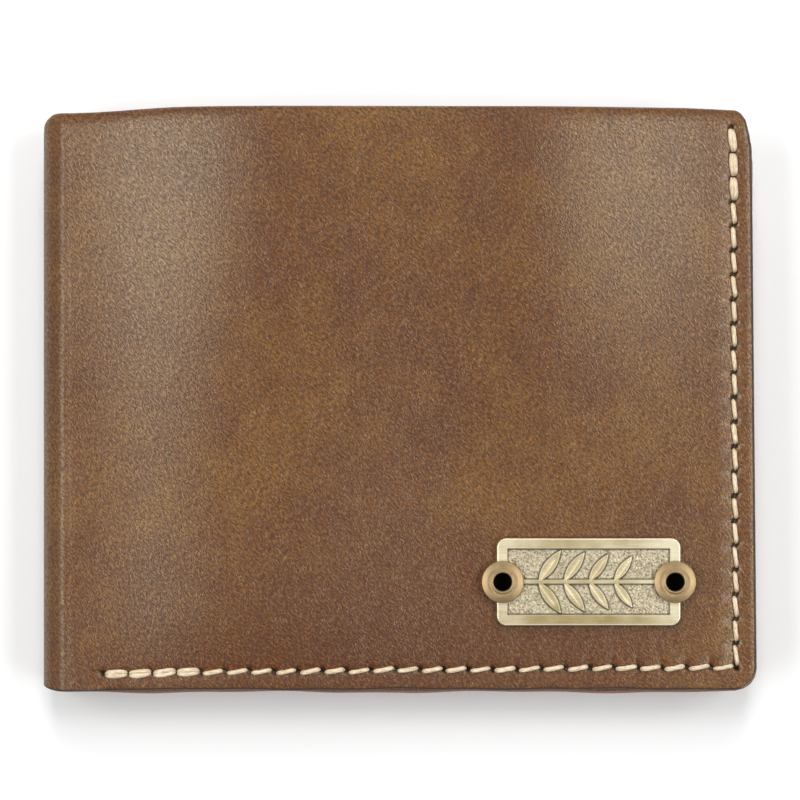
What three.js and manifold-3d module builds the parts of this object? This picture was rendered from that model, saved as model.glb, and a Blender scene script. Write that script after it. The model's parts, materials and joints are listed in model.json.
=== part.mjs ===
// A leather trifold wallet, closed and lying on its back leaf.
//
// Three leaves turn on one spine: the front leaf (cover, bill divider, three card slots, and a brass emblem
// held by two eyelets), the centre leaf (identity window on one side, two card slots on the other) and the
// back leaf (cover, bill divider, three card slots). The cover is one piece of leather that runs from leaf
// to leaf round the spine, and so is the bill divider. Here both are cut at the two fold lines, so that
// each leaf can turn.
//
// Millimetres. X runs from the spine (-X) to the free edges, Y from the bottom seam to the open top, and Z
// is up. The origin is the middle of the back leaf's outer face.
import * as THREE from "three";
import { mergeVertices } from "three/addons/utils/BufferGeometryUtils.js";
import Module from "manifold-3d";

const wasm = await Module();
wasm.setup();

// ---- Driving dimensions ----
const WIDTH = 114;
const HEIGHT = 93;
const THICK = 15; // over the two covers, at the seams
const COVER = 1.4; // leather thickness of the cover
const BILL_GAP = 1.2; // between cover and divider, where the two aren't sewn together
const DIVIDER = 0.7;
const POCKET = 0.6; // leather thickness of each card slot
const LAYER_GAP = 0.1; // between two layers of leather that lie on each other
const LEAF_GAP = 0.5; // between two leaves, where the thread lies
const FOLD_RADIUS = 4; // outside radius of the cover at the spine
const FOLD_SLIT = 0.5; // clearance where cover and divider are cut at a fold line
const CORNER = 3.8; // radius of the covers' free bottom corners
const TOP_CORNER = 0.8;
const HEM_HEIGHT = 12; // the cover's top edge is turned in by this much
const HEM = 0.7; // leather thickness of the turned-in edge, pared thin
const CROWN = 5; // how far the front cover bows out over the bill compartment
const CROWN_HALF_WIDTH = 50;
const CROWN_FOOT = -20; // the bow starts at this height and is full at CROWN_TOP
const CROWN_TOP = 44;
const INTERIOR_TOP = 39.5; // the divider is lower than the cover, so that notes can be reached
const POCKET_LEFT = -49.5; // the pockets stop short of the spine, so that it can fold
const SLOT_TOPS = [33, 21.5, 10]; // mouths of the three card slots, first the one next to the divider
const SLOT_FEET = [-22, -33]; // the two upper slots end here, behind the lower one
const EAR_HEIGHT = 10; // an upper slot is as wide as the leaf only over this height
const EAR_WIDTH = 6.5;
const SEAM = 3.2; // from a cover's edge to its stitching
const SEAM_START = -47;
const SLOT_SEAM_INSET = 2.6; // from the slots' edges next to the spine to their stitching
const SLOT_SEAM_DROP = 2.5; // its top is this much lower than the first slot's mouth
const SLOT_SEAM_RISE = 4; // its foot is this much higher than the bottom seam
const SEAM_TOP = 43.8;
const THREAD = 0.8; // width of the thread
const THREAD_IN = 0.4; // how deep the thread lies in its groove
const THREAD_OUT = 0.25; // how far it stands out of the front cover
const THREAD_INSIDE = 0.3; // its height on the inside of a leaf
const GROOVE_PLAY = 0.15; // around the thread in its groove and its holes
const LEAF_RIGHT = 55.5;
const LEAF_BOTTOM = -44;
const LEAF_TOP = 38;
const LEAF_CORE = 0.7;
const WINDOW_FILM = 0.3;
const WINDOW = { x: 3, y: -3, width: 82, height: 50, corner: 4 };
const WINDOW_LAP = 5; // how far the film reaches past the window
const LEAF_SLOT_TOPS = [30, 16];
const LEAF_SLOT_FOOT = -26;
const HINGE_X = -52.8; // the centre leaf turns here
const HINGE_PLAY = 0.3; // from the hinge to the centre leaf's edge
const ANCHOR_END = -53.05; // the centre leaf's sewn-in root ends here
const PLATE = { x: 30.1, y: -28.9, width: 29.4, height: 14.1, corner: 1.6 };
const PLATE_THICK = 1.2;
const PLATE_RECESS = 0.45;
const PLATE_RIM = 1.8;
const SPRIG = { leaves: 4, pitch: 4, stem: 0.7, stemInset: 3, tilt: 0.95, length: 6.3, width: 1.9 };
const SPRIG_TAPER = 0.06; // each pair of leaves is smaller than the one before by this share
const EYELET_SPACING = 27.4;
const EYELET_BORE = 1.45;
const EYELET_BARREL = 1.85;
const EYELET_FLANGE = 3.35;
const EYELET_HEIGHT = 0.95; // of the flange, above the plate
const EYELET_PLAY = 0.15;
const EYELET_SEAT = 0.02; // between the flange and the plate
const EYELET_SIDES = 28;
const EYELET_ROLL = 0.45; // thickness of the rolled end behind the cover
const WASHER = { inner: 2.05, outer: 3.7, thick: 0.3 };
const ARC_STEPS = 6;
const CROWN_STEPS = 24;
const HEM_LAP = 0.1; // the hem's solid starts inside the cover's, so that the two join

// ---- Worked-out dimensions ----
const LEFT = -WIDTH / 2;
const RIGHT = WIDTH / 2;
const BOTTOM = -HEIGHT / 2;
const TOP = HEIGHT / 2;
const HEM_FOOT = TOP - HEM_HEIGHT;
const STRAIGHT = THICK / 2 - FOLD_RADIUS; // half of the flat part of the spine
const ARC = (FOLD_RADIUS * Math.PI) / 2;
const FOLD_LINE = STRAIGHT + ARC / 2; // where a fold line is, along the cover from the middle of the spine
const FLAT_START = STRAIGHT + ARC;
const SHEET_END = FLAT_START + WIDTH - FOLD_RADIUS;
const SEAM_X = RIGHT - SEAM;
const SEAM_Y = BOTTOM + SEAM + 0.3;
const DIVIDER_DEPTH = COVER + BILL_GAP;
const SLOT_DEPTHS = SLOT_TOPS.map(
  (_, i) => DIVIDER_DEPTH + DIVIDER + LAYER_GAP + i * (POCKET + LAYER_GAP),
);
const STACK = SLOT_DEPTHS[2] + POCKET; // thickness of the front leaf, and of the back leaf
const LEAF_FLOOR = STACK + LEAF_GAP;
const LEAF_SLOT_FLOORS = [LEAF_FLOOR + POCKET + LAYER_GAP, LEAF_FLOOR];
const CORE_FLOOR = LEAF_SLOT_FLOORS[0] + POCKET + LAYER_GAP;
const FILM_FLOOR = CORE_FLOOR + LEAF_CORE + LAYER_GAP;
const FRAME_FLOOR = FILM_FLOOR + WINDOW_FILM + LAYER_GAP;
const LEAF_ROOF = FRAME_FLOOR + POCKET;
const DIVIDER_INNER_FACE = LEFT + DIVIDER_DEPTH + DIVIDER;
const CLEAR = 1; // how far a cutting solid reaches past what it cuts

// ---- Materials ----
const leather = (color, roughness) =>
  new THREE.MeshStandardMaterial({ color, roughness, metalness: 0 });
const coverLeather = leather(0x7d573a, 0.5);
const liningLeather = leather(0x6b4830, 0.6);
const pocketLeather = leather(0x744f34, 0.55);
const thread = leather(0xdcc59c, 0.7);
const brass = new THREE.MeshStandardMaterial({
  color: 0xb09a63,
  roughness: 0.35,
  metalness: 1,
});
const film = new THREE.MeshStandardMaterial({
  color: 0xe8ecec,
  roughness: 0.1,
  metalness: 0,
  transparent: true,
  opacity: 0.4,
});

// ---- Solids ----
const wallet = new THREE.Group();

function add(name, shape, material) {
  const geometry = shape.isBufferGeometry ? shape : geometryOf(shape);
  const mesh = new THREE.Mesh(geometry, material);
  mesh.name = name;
  wallet.add(mesh);
}

function solidOf(geometry) {
  const bare = geometry.clone();
  bare.deleteAttribute("normal");
  bare.deleteAttribute("uv");
  const merged = mergeVertices(bare, 1e-4);
  return new wasm.Manifold(
    new wasm.Mesh({
      numProp: 3,
      vertProperties: merged.attributes.position.array,
      triVerts: new Uint32Array(merged.index.array),
    }),
  );
}

function geometryOf(solid) {
  const made = solid.getMesh();
  const geometry = new THREE.BufferGeometry();
  geometry.setAttribute("position", new THREE.BufferAttribute(made.vertProperties, 3));
  geometry.setIndex(new THREE.BufferAttribute(made.triVerts, 1));
  geometry.computeVertexNormals();
  return geometry;
}

function join(solids) {
  return solids.reduce((sum, solid) => sum.add(solid));
}

// The solid between two heights that has the outline of a shape.
function slab(shape, low, high, curveSegments = 5) {
  const options = { depth: high - low, bevelEnabled: false, curveSegments };
  return new THREE.ExtrudeGeometry(shape, options).translate(0, 0, low);
}

function block(x0, x1, y0, y1, z0, z1) {
  const box = new THREE.BoxGeometry(x1 - x0, y1 - y0, z1 - z0);
  return box.translate((x0 + x1) / 2, (y0 + y1) / 2, (z0 + z1) / 2);
}

function post(x, y, radius, low, high, sides = 24) {
  const rod = new THREE.CylinderGeometry(radius, radius, high - low, sides);
  return rod.rotateX(Math.PI / 2).translate(x, y, (low + high) / 2);
}

// The radii of a rectangle's corners are anticlockwise from the bottom right one.
function rectangle(x0, x1, y0, y1, radii = [0, 0, 0, 0]) {
  const [bottomRight, topRight, topLeft, bottomLeft] = radii;
  const shape = new THREE.Shape();
  shape.moveTo(x0 + bottomLeft, y0);
  shape.lineTo(x1 - bottomRight, y0);
  if (bottomRight) shape.absarc(x1 - bottomRight, y0 + bottomRight, bottomRight, -Math.PI / 2, 0);
  shape.lineTo(x1, y1 - topRight);
  if (topRight) shape.absarc(x1 - topRight, y1 - topRight, topRight, 0, Math.PI / 2);
  shape.lineTo(x0 + topLeft, y1);
  if (topLeft) shape.absarc(x0 + topLeft, y1 - topLeft, topLeft, Math.PI / 2, Math.PI);
  shape.lineTo(x0, y0 + bottomLeft);
  if (bottomLeft) shape.absarc(x0 + bottomLeft, y0 + bottomLeft, bottomLeft, Math.PI, 1.5 * Math.PI);
  return shape;
}

// ---- The leather that goes round the spine ----
const smooth = (t) => t * t * (3 - 2 * t);
const clamp = (t) => Math.min(1, Math.max(0, t));

// How far the front cover stands out at a point, over its flat place.
function crown(x, y) {
  const across = Math.max(0, 1 - (x / CROWN_HALF_WIDTH) ** 2);
  const up = clamp((y - CROWN_FOOT) / (CROWN_TOP - CROWN_FOOT));
  return CROWN * across * across * smooth(up);
}

// A point of a leather that is folded round the spine. Along is measured on the cover's outside from the
// middle of the spine, positive towards the front leaf. Depth is measured inwards from that outside.
function onFold(along, depth) {
  const distance = Math.abs(along);
  const turn = (distance - STRAIGHT) / FOLD_RADIUS;
  let x = LEFT + depth;
  let z = THICK / 2 + distance;
  if (distance > FLAT_START) {
    x = LEFT + FOLD_RADIUS + distance - FLAT_START;
    z = THICK - depth;
  } else if (distance > STRAIGHT) {
    x = LEFT + FOLD_RADIUS - (FOLD_RADIUS - depth) * Math.cos(turn);
    z = THICK - FOLD_RADIUS + (FOLD_RADIUS - depth) * Math.sin(turn);
  }
  return [x, along < 0 ? THICK - z : z];
}

const steps = (from, to, count) =>
  Array.from({ length: count + 1 }, (_, i) => from + ((to - from) * i) / count);

// A sheet of leather over the given stations along the fold and the given heights, between two depths.
function sheet(stations, heights, outer, inner, bow = () => 0) {
  const box = new THREE.BoxGeometry(1, 1, 1, stations.length - 1, heights.length - 1, 1);
  const place = box.attributes.position;
  for (let i = 0; i < place.count; i++) {
    const along = stations[Math.round((place.getX(i) + 0.5) * (stations.length - 1))];
    const y = heights[Math.round((place.getY(i) + 0.5) * (heights.length - 1))];
    const [x, z] = onFold(along, place.getZ(i) > 0 ? outer : inner);
    place.setXYZ(i, x, y, z + bow(x, y));
  }
  return box;
}

const mirrored = (stations) => stations.map((along) => -along).reverse();
const shoulder = steps(FOLD_LINE + FOLD_SLIT / 2, FLAT_START, ARC_STEPS / 2);
const flatStations = [...shoulder, SHEET_END];
const crownStations = steps(FLAT_START, FLAT_START + CROWN_HALF_WIDTH * 2, CROWN_STEPS).slice(1);
const bowedStations = [...shoulder, ...crownStations, SHEET_END];
const spineSide = steps(STRAIGHT, FOLD_LINE - FOLD_SLIT / 2, ARC_STEPS / 2);
const spineStations = [...mirrored(spineSide), ...spineSide];
const hemHeights = steps(HEM_FOOT, TOP, 3);
const coverHeights = [BOTTOM, ...steps(CROWN_FOOT, HEM_FOOT, 10), ...hemHeights.slice(1)];

const coverOutline = rectangle(LEFT - CLEAR, RIGHT, BOTTOM, TOP, [CORNER, TOP_CORNER, 0, 0]);

// ---- Thread ----
// A cover's thread is one solid: a run in a groove outside, a run inside, and legs through the leather.
const coverSeamEnds = [
  [SEAM_START, SEAM_Y],
  [SEAM_X, SEAM_Y],
  [SEAM_X, SEAM_TOP],
];

function run(points, width, low, high) {
  const [[x0, y0], [x1], [, y1]] = points;
  const half = width / 2;
  const shape = new THREE.Shape();
  shape.moveTo(x0 - half, y0 - half);
  shape.lineTo(x1 + half, y0 - half);
  shape.lineTo(x1 + half, y1 + half);
  shape.lineTo(x1 - half, y1 + half);
  shape.lineTo(x1 - half, y0 + half);
  shape.lineTo(x0 - half, y0 + half);
  shape.closePath();
  return solidOf(slab(shape, low, high));
}

function leg([x, y], width, low, high) {
  return solidOf(block(x - width / 2, x + width / 2, y - width / 2, y + width / 2, low, high));
}

const HOLE = THREAD + 2 * GROOVE_PLAY;
const through = (points) => join(points.map((point) => leg(point, HOLE, -CLEAR, THICK + CLEAR)));

// ---- Front and back leaf ----
// Both leaves are the same, turned over: side is 1 for the front leaf and -1 for the back leaf.
const heightOf = (side, depth) => (side > 0 ? THICK - depth : depth);
const span = (side, ...depths) => {
  const heights = depths.map((depth) => heightOf(side, depth));
  return [Math.min(...heights), Math.max(...heights)];
};
const layer = (side, shape, depth, thick) => solidOf(slab(shape, ...span(side, depth, depth + thick)));

function cover(side) {
  const bow = side > 0 ? crown : undefined;
  const stations = side > 0 ? bowedStations : mirrored(flatStations);
  const skin = solidOf(sheet(stations, coverHeights, 0, COVER, bow));
  const hem = solidOf(sheet(stations, hemHeights, COVER - HEM_LAP, COVER + HEM, bow));
  const outline = solidOf(slab(coverOutline, -CLEAR, THICK + CROWN + CLEAR));
  const groove = run(coverSeamEnds, HOLE, ...span(side, -CLEAR, THREAD_IN + GROOVE_PLAY / 2));
  return skin.add(hem).intersect(outline).subtract(groove).subtract(through(coverSeamEnds));
}

// The divider's edge is raised to the cover, where the two are sewn together.
function divider(side) {
  const stations = side > 0 ? flatStations : mirrored(flatStations);
  const flat = solidOf(sheet(stations, [BOTTOM, INTERIOR_TOP], DIVIDER_DEPTH, DIVIDER_DEPTH + DIVIDER));
  const rimDepth = COVER + LAYER_GAP;
  const rimThick = BILL_GAP - LAYER_GAP + DIVIDER / 2;
  const foot = rectangle(POCKET_LEFT, RIGHT, BOTTOM, BOTTOM + 2 * SEAM);
  const edge = rectangle(RIGHT - 2 * SEAM, RIGHT, BOTTOM, HEM_FOOT - LAYER_GAP);
  const rim = join([foot, edge].map((shape) => layer(side, shape, rimDepth, rimThick)));
  const outline = solidOf(slab(coverOutline, -CLEAR, THICK + CLEAR));
  return flat.add(rim).intersect(outline).subtract(through(coverSeamEnds.slice(0, 2)));
}

// An upper card slot: as wide as the leaf at its mouth and narrower below, so that layers don't pile up.
function slotShape(left, right, top, foot) {
  const shape = new THREE.Shape();
  shape.moveTo(left + EAR_WIDTH, foot);
  shape.lineTo(right - EAR_WIDTH, foot);
  shape.lineTo(right - EAR_WIDTH, top - EAR_HEIGHT);
  shape.lineTo(right, top - EAR_HEIGHT);
  shape.lineTo(right, top);
  shape.lineTo(left, top);
  shape.lineTo(left, top - EAR_HEIGHT);
  shape.lineTo(left + EAR_WIDTH, top - EAR_HEIGHT);
  shape.closePath();
  return shape;
}

// The thread that holds the slots' edges next to the spine climbs down from layer to layer.
const SLOT_SEAM_X = POCKET_LEFT + SLOT_SEAM_INSET;
const SLOT_SEAM_TOP = SLOT_TOPS[0] - SLOT_SEAM_DROP;
const SLOT_SEAM_FOOT = SEAM_Y + SLOT_SEAM_RISE;
const slotSeamEnds = [
  [SLOT_SEAM_X, SLOT_SEAM_TOP],
  [SLOT_SEAM_X, SLOT_SEAM_FOOT],
];

function slotSeamThread(side) {
  const half = THREAD / 2;
  const width = [SLOT_SEAM_X - half, SLOT_SEAM_X + half];
  const mouths = SLOT_TOPS.slice(1).map((top) => top + GROOVE_PLAY);
  const ends = [SLOT_SEAM_TOP + half, ...mouths, SLOT_SEAM_FOOT - half];
  const runs = SLOT_DEPTHS.map((depth, i) => {
    const stretch = rectangle(...width, ends[i + 1], ends[i]);
    return layer(side, stretch, depth + POCKET, THREAD_INSIDE);
  });
  const risers = SLOT_DEPTHS.slice(0, 2).map((depth, i) => {
    const riser = rectangle(...width, ends[i + 1], ends[i + 1] + THREAD);
    return layer(side, riser, depth + POCKET, POCKET + LAYER_GAP + THREAD_INSIDE);
  });
  const foot = DIVIDER_DEPTH + DIVIDER / 2;
  const legs = slotSeamEnds.map((point, i) => {
    const face = SLOT_DEPTHS[i ? 2 : 0] + POCKET;
    return leg(point, THREAD, ...span(side, foot, face + THREAD_INSIDE));
  });
  return join([...runs, ...risers, ...legs]);
}

function coverThread(side) {
  const inside = [coverSeamEnds[0], coverSeamEnds[1], [SEAM_X, SLOT_TOPS[2] - CLEAR]];
  const proud = side > 0 ? THREAD_OUT : 0;
  const inner = STACK + THREAD_INSIDE;
  const [start, corner, top] = coverSeamEnds;
  return join([
    run(coverSeamEnds, THREAD, ...span(side, -proud, THREAD_IN)),
    run(inside, THREAD, ...span(side, STACK, inner)),
    ...[start, corner].map((point) => leg(point, THREAD, ...span(side, -proud, inner))),
    leg(top, THREAD, ...span(side, -proud, COVER + HEM)),
  ]);
}

function coverLeaf(side, leaf) {
  const slots = [
    slotShape(POCKET_LEFT, RIGHT, SLOT_TOPS[0], SLOT_FEET[0]),
    slotShape(POCKET_LEFT, RIGHT, SLOT_TOPS[1], SLOT_FEET[1]),
    rectangle(POCKET_LEFT, RIGHT, BOTTOM, SLOT_TOPS[2], [CORNER, 0, 0, 0]),
  ];
  const seamHoles = through(coverSeamEnds.slice(0, 2)).add(through(slotSeamEnds));
  const hide = cover(side);
  add(leaf + "_cover", side > 0 ? hide.subtract(eyeletHoles(THICK / 2)) : hide, coverLeather);
  add(leaf + "_bill_divider", divider(side).subtract(through(slotSeamEnds)), liningLeather);
  ["upper", "middle", "lower"].forEach((place, i) => {
    const panel = layer(side, slots[i], SLOT_DEPTHS[i], POCKET).subtract(seamHoles);
    add(`${leaf}_card_slot_${place}`, panel, pocketLeather);
  });
  add(leaf + "_edge_thread", coverThread(side), thread);
  add(leaf + "_slot_thread", slotSeamThread(side), thread);
}

// ---- Brass emblem ----
const eyeletX = [PLATE.x - EYELET_SPACING / 2, PLATE.x + EYELET_SPACING / 2];

function eyeletHoles(low) {
  const radius = EYELET_BARREL + EYELET_PLAY;
  return join(eyeletX.map((x) => solidOf(post(x, PLATE.y, radius, low, THICK + 2 * PLATE_THICK))));
}

// A leaf of the sprig, from its foot on the stem to its tip.
function leafBlade(length, width) {
  const belly = length * 0.45;
  const shape = new THREE.Shape();
  shape.moveTo(0, 0);
  shape.quadraticCurveTo(belly, width, length, 0);
  shape.quadraticCurveTo(belly, -width, 0, 0);
  return shape;
}

// A stem with pairs of leaves, laid along the plate.
function sprig(low, high) {
  const { leaves, pitch, stem, stemInset, tilt, length, width } = SPRIG;
  const reach = PLATE.width / 2 - stemInset;
  const half = stem / 2;
  const blades = Array.from({ length: leaves }, (_, i) => {
    const x = PLATE.x + (i - leaves / 2) * pitch;
    const share = 1 - i * SPRIG_TAPER;
    return [tilt, -tilt].map((angle) => {
      const blade = slab(leafBlade(length * share, width * share), low, high);
      return solidOf(blade.rotateZ(angle).translate(x, PLATE.y, 0));
    });
  });
  const rod = block(PLATE.x - reach, PLATE.x + reach, PLATE.y - half, PLATE.y + half, low, high);
  return join([solidOf(rod), ...blades.flat()]);
}

function emblemPlate() {
  const { x, y, width, height, corner } = PLATE;
  const [low, high] = [THICK, THICK + PLATE_THICK];
  const inset = (by, radius) => {
    const [halfWidth, halfHeight] = [width / 2 - by, height / 2 - by];
    const radii = [radius, radius, radius, radius];
    return rectangle(x - halfWidth, x + halfWidth, y - halfHeight, y + halfHeight, radii);
  };
  const body = solidOf(slab(inset(0, corner), low, high));
  const recess = solidOf(slab(inset(PLATE_RIM, corner / 4), high - PLATE_RECESS, high + CLEAR));
  const relief = sprig(low, high).intersect(solidOf(slab(inset(PLATE_RIM / 2, corner / 4), low, high)));
  return body.subtract(recess).add(relief).subtract(eyeletHoles(low - CLEAR));
}

// An eyelet: a barrel with a funnel-shaped flange on the plate and a rolled end under the washer.
function eyelet(x) {
  const face = THICK + PLATE_THICK + EYELET_SEAT;
  const back = THICK - COVER - WASHER.thick - 2 * LAYER_GAP;
  const rolled = EYELET_FLANGE - 0.6;
  const section = [
    [EYELET_BORE, back - EYELET_ROLL],
    [rolled, back - EYELET_ROLL],
    [rolled + 0.2, back - EYELET_ROLL / 2],
    [rolled, back],
    [EYELET_BARREL, back],
    [EYELET_BARREL, face],
    [EYELET_FLANGE - 0.1, face],
    [EYELET_FLANGE, face + EYELET_HEIGHT * 0.3],
    [EYELET_FLANGE - 0.4, face + EYELET_HEIGHT * 0.8],
    [EYELET_FLANGE - 1, face + EYELET_HEIGHT],
    [EYELET_BORE + 0.35, face + EYELET_HEIGHT * 0.7],
    [EYELET_BORE, face + EYELET_HEIGHT * 0.1],
  ];
  const profile = [...section, section[0]].map(([r, z]) => new THREE.Vector2(r, z));
  const ring = new THREE.LatheGeometry(profile, EYELET_SIDES);
  return solidOf(ring.rotateX(Math.PI / 2).translate(x, PLATE.y, 0));
}

function washer(x) {
  const high = THICK - COVER - LAYER_GAP;
  const disc = solidOf(post(x, PLATE.y, WASHER.outer, high - WASHER.thick, high));
  return disc.subtract(solidOf(post(x, PLATE.y, WASHER.inner, 0, THICK)));
}

// ---- Spine ----
function spine() {
  const skin = solidOf(sheet(spineStations, [BOTTOM, HEM_FOOT, TOP], 0, COVER));
  const hem = solidOf(sheet(spineStations, [HEM_FOOT, TOP], COVER - HEM_LAP, COVER + HEM));
  add("spine_cover", skin.add(hem), coverLeather);
  const heights = [BOTTOM, INTERIOR_TOP];
  const inner = solidOf(sheet(spineStations, heights, DIVIDER_DEPTH, DIVIDER_DEPTH + DIVIDER));
  const rootStart = DIVIDER_INNER_FACE - DIVIDER / 2;
  const root = block(rootStart, ANCHOR_END, LEAF_BOTTOM, LEAF_TOP, CORE_FLOOR, CORE_FLOOR + LEAF_CORE);
  add("spine_bill_divider", inner.add(solidOf(root)), liningLeather);
}

// ---- Centre leaf ----
const LEAF_SEAM_X = LEAF_RIGHT - SEAM;
const LEAF_SEAM_Y = LEAF_BOTTOM + SEAM;
const leafSeamEnds = [
  [SEAM_START, LEAF_SEAM_Y],
  [LEAF_SEAM_X, LEAF_SEAM_Y],
  [LEAF_SEAM_X, LEAF_SLOT_TOPS[1] - 2 * CLEAR],
];

function leafThread() {
  const [low, high] = [LEAF_FLOOR - THREAD_INSIDE, LEAF_ROOF + THREAD_INSIDE];
  return join([
    run(leafSeamEnds, THREAD, low, LEAF_FLOOR),
    run(leafSeamEnds, THREAD, LEAF_ROOF, high),
    ...leafSeamEnds.map((point) => leg(point, THREAD, low, high)),
  ]);
}

// The window, or the film behind it, which reaches past it by the lap.
function windowShape(lap) {
  const { x, y, width, height, corner } = WINDOW;
  const [halfWidth, halfHeight] = [width / 2 + lap, height / 2 + lap];
  const radii = [corner, corner, corner, corner];
  return rectangle(x - halfWidth, x + halfWidth, y - halfHeight, y + halfHeight, radii);
}

function centreLeaf() {
  const holes = through(leafSeamEnds);
  const panel = (shape, low, thick) => solidOf(slab(shape, low, low + thick));
  const whole = (left) => rectangle(left, LEAF_RIGHT, LEAF_BOTTOM, LEAF_TOP, [CORNER, CORNER, 0, 0]);
  const upper = slotShape(POCKET_LEFT, LEAF_RIGHT, LEAF_SLOT_TOPS[0], LEAF_SLOT_FOOT);
  const lower = rectangle(POCKET_LEFT, LEAF_RIGHT, LEAF_BOTTOM, LEAF_SLOT_TOPS[1], [CORNER, 0, 0, 0]);
  const core = panel(whole(HINGE_X + HINGE_PLAY), CORE_FLOOR, LEAF_CORE);
  const frame = panel(whole(POCKET_LEFT), FRAME_FLOOR, POCKET);
  const opening = panel(windowShape(0), FRAME_FLOOR - CLEAR, POCKET + 2 * CLEAR);
  add("centre_leaf_core", core.subtract(holes), liningLeather);
  add("centre_window_frame", frame.subtract(opening).subtract(holes), pocketLeather);
  add("centre_window_film", panel(windowShape(WINDOW_LAP), FILM_FLOOR, WINDOW_FILM), film);
  add("centre_card_slot_upper", panel(upper, LEAF_SLOT_FLOORS[0], POCKET), pocketLeather);
  add("centre_card_slot_lower", panel(lower, LEAF_SLOT_FLOORS[1], POCKET).subtract(holes), pocketLeather);
  add("centre_edge_thread", leafThread(), thread);
}

coverLeaf(-1, "back");
spine();
centreLeaf();
coverLeaf(1, "front");
add("emblem_plate", emblemPlate(), brass);
["left", "right"].forEach((place, i) => {
  add(`emblem_eyelet_${place}`, eyelet(eyeletX[i]), brass);
  add(`emblem_washer_${place}`, washer(eyeletX[i]), brass);
});

export default wallet;
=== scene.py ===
"""The looks of the trifold wallet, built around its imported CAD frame.

Lengths are millimetres until a mesh is made. Each sheet of leather is described on its flat pattern, by a
place (x, y) and a depth below its outside, and a function folds that pattern into its place. The flat place
is kept on the mesh as the attribute "rest", so that the grain stays on the leather when the wallet opens.
"""

import json
import math

import bpy
import numpy as np
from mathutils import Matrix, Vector


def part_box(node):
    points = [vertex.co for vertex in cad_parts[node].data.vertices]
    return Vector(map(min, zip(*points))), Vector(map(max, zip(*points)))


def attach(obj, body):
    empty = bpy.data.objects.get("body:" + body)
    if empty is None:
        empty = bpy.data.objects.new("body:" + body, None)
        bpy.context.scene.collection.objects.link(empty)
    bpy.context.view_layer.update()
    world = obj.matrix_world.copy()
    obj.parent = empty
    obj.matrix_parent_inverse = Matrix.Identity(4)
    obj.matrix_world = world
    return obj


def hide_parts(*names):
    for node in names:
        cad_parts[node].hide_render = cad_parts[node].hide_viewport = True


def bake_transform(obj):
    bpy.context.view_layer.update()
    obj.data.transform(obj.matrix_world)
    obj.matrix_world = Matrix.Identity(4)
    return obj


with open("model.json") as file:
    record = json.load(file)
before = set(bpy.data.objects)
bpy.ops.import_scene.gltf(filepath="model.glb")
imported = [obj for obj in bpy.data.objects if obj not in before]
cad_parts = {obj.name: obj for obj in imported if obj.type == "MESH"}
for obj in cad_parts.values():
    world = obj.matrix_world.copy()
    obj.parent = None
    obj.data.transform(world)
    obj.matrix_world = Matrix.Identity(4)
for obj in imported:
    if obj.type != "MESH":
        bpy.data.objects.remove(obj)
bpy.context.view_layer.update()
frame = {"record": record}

MM = 0.001
random = np.random.default_rng(14)


def node_box(node):
    """The lowest and highest corner of a CAD node."""
    low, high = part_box(node)
    return np.array(low) / MM, np.array(high) / MM


# ---- Sizes from the frame ----
spine_low, _ = node_box("spine_cover")
back_low, back_high = node_box("back_cover")
_, divider_high = node_box("front_bill_divider")
slot_boxes = [node_box(f"front_card_slot_{place}") for place in ("upper", "middle", "lower")]
plate_low, plate_high = node_box("emblem_plate")
eyelet_boxes = [node_box(f"emblem_eyelet_{place}") for place in ("left", "right")]
washer_boxes = [node_box(f"emblem_washer_{place}") for place in ("left", "right")]
core_low, core_high = node_box("centre_leaf_core")
film_low, film_high = node_box("centre_window_film")
_, frame_high = node_box("centre_window_frame")
leaf_slot_boxes = [node_box(f"centre_card_slot_{place}") for place in ("upper", "lower")]

LEFT = spine_low[0]
RIGHT = back_high[0]
BOTTOM = back_low[1]
TOP = back_high[1]
THICK = plate_low[2]
INTERIOR_TOP = divider_high[1]
POCKET_LEFT = slot_boxes[0][0][0]
SLOT_TOPS = [high[1] for _, high in slot_boxes]
SLOT_FEET = [low[1] for low, _ in slot_boxes]
SLOT_FACES = [THICK - low[2] for low, _ in slot_boxes]  # depth of each slot's inner face in its leaf
PLATE_X, PLATE_Y = (plate_low[:2] + plate_high[:2]) / 2
PLATE_WIDTH, PLATE_HEIGHT, PLATE_THICK = plate_high - plate_low
PLATE_TOP = plate_high[2]
EYELET_X = [(low[0] + high[0]) / 2 for low, high in eyelet_boxes]
EYELET_TOP = eyelet_boxes[0][1][2]
EYELET_FOOT = eyelet_boxes[0][0][2]
EYELET_FLANGE = (eyelet_boxes[0][1][0] - eyelet_boxes[0][0][0]) / 2
EYELET_BORE = 1.45
EYELET_BARREL = 1.85
EYELET_HOLE = 1.95  # radius of the holes in the cover and the plate
WASHER_RADIUS = (washer_boxes[0][1][0] - washer_boxes[0][0][0]) / 2
WASHER_BORE = 2.05
LEAF_RIGHT = core_high[0]
LEAF_BOTTOM = core_low[1]
LEAF_TOP = core_high[1]
LEAF_SLOT_TOPS = [high[1] for _, high in leaf_slot_boxes]
joints = {joint["name"]: joint for joint in frame["record"]["behaviour"]["joints"]}
HINGE_X = joints["centre_leaf_turn"]["pos_m"][0] / MM
HINGE_Z = (core_low[2] + core_high[2]) / 2

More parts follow.
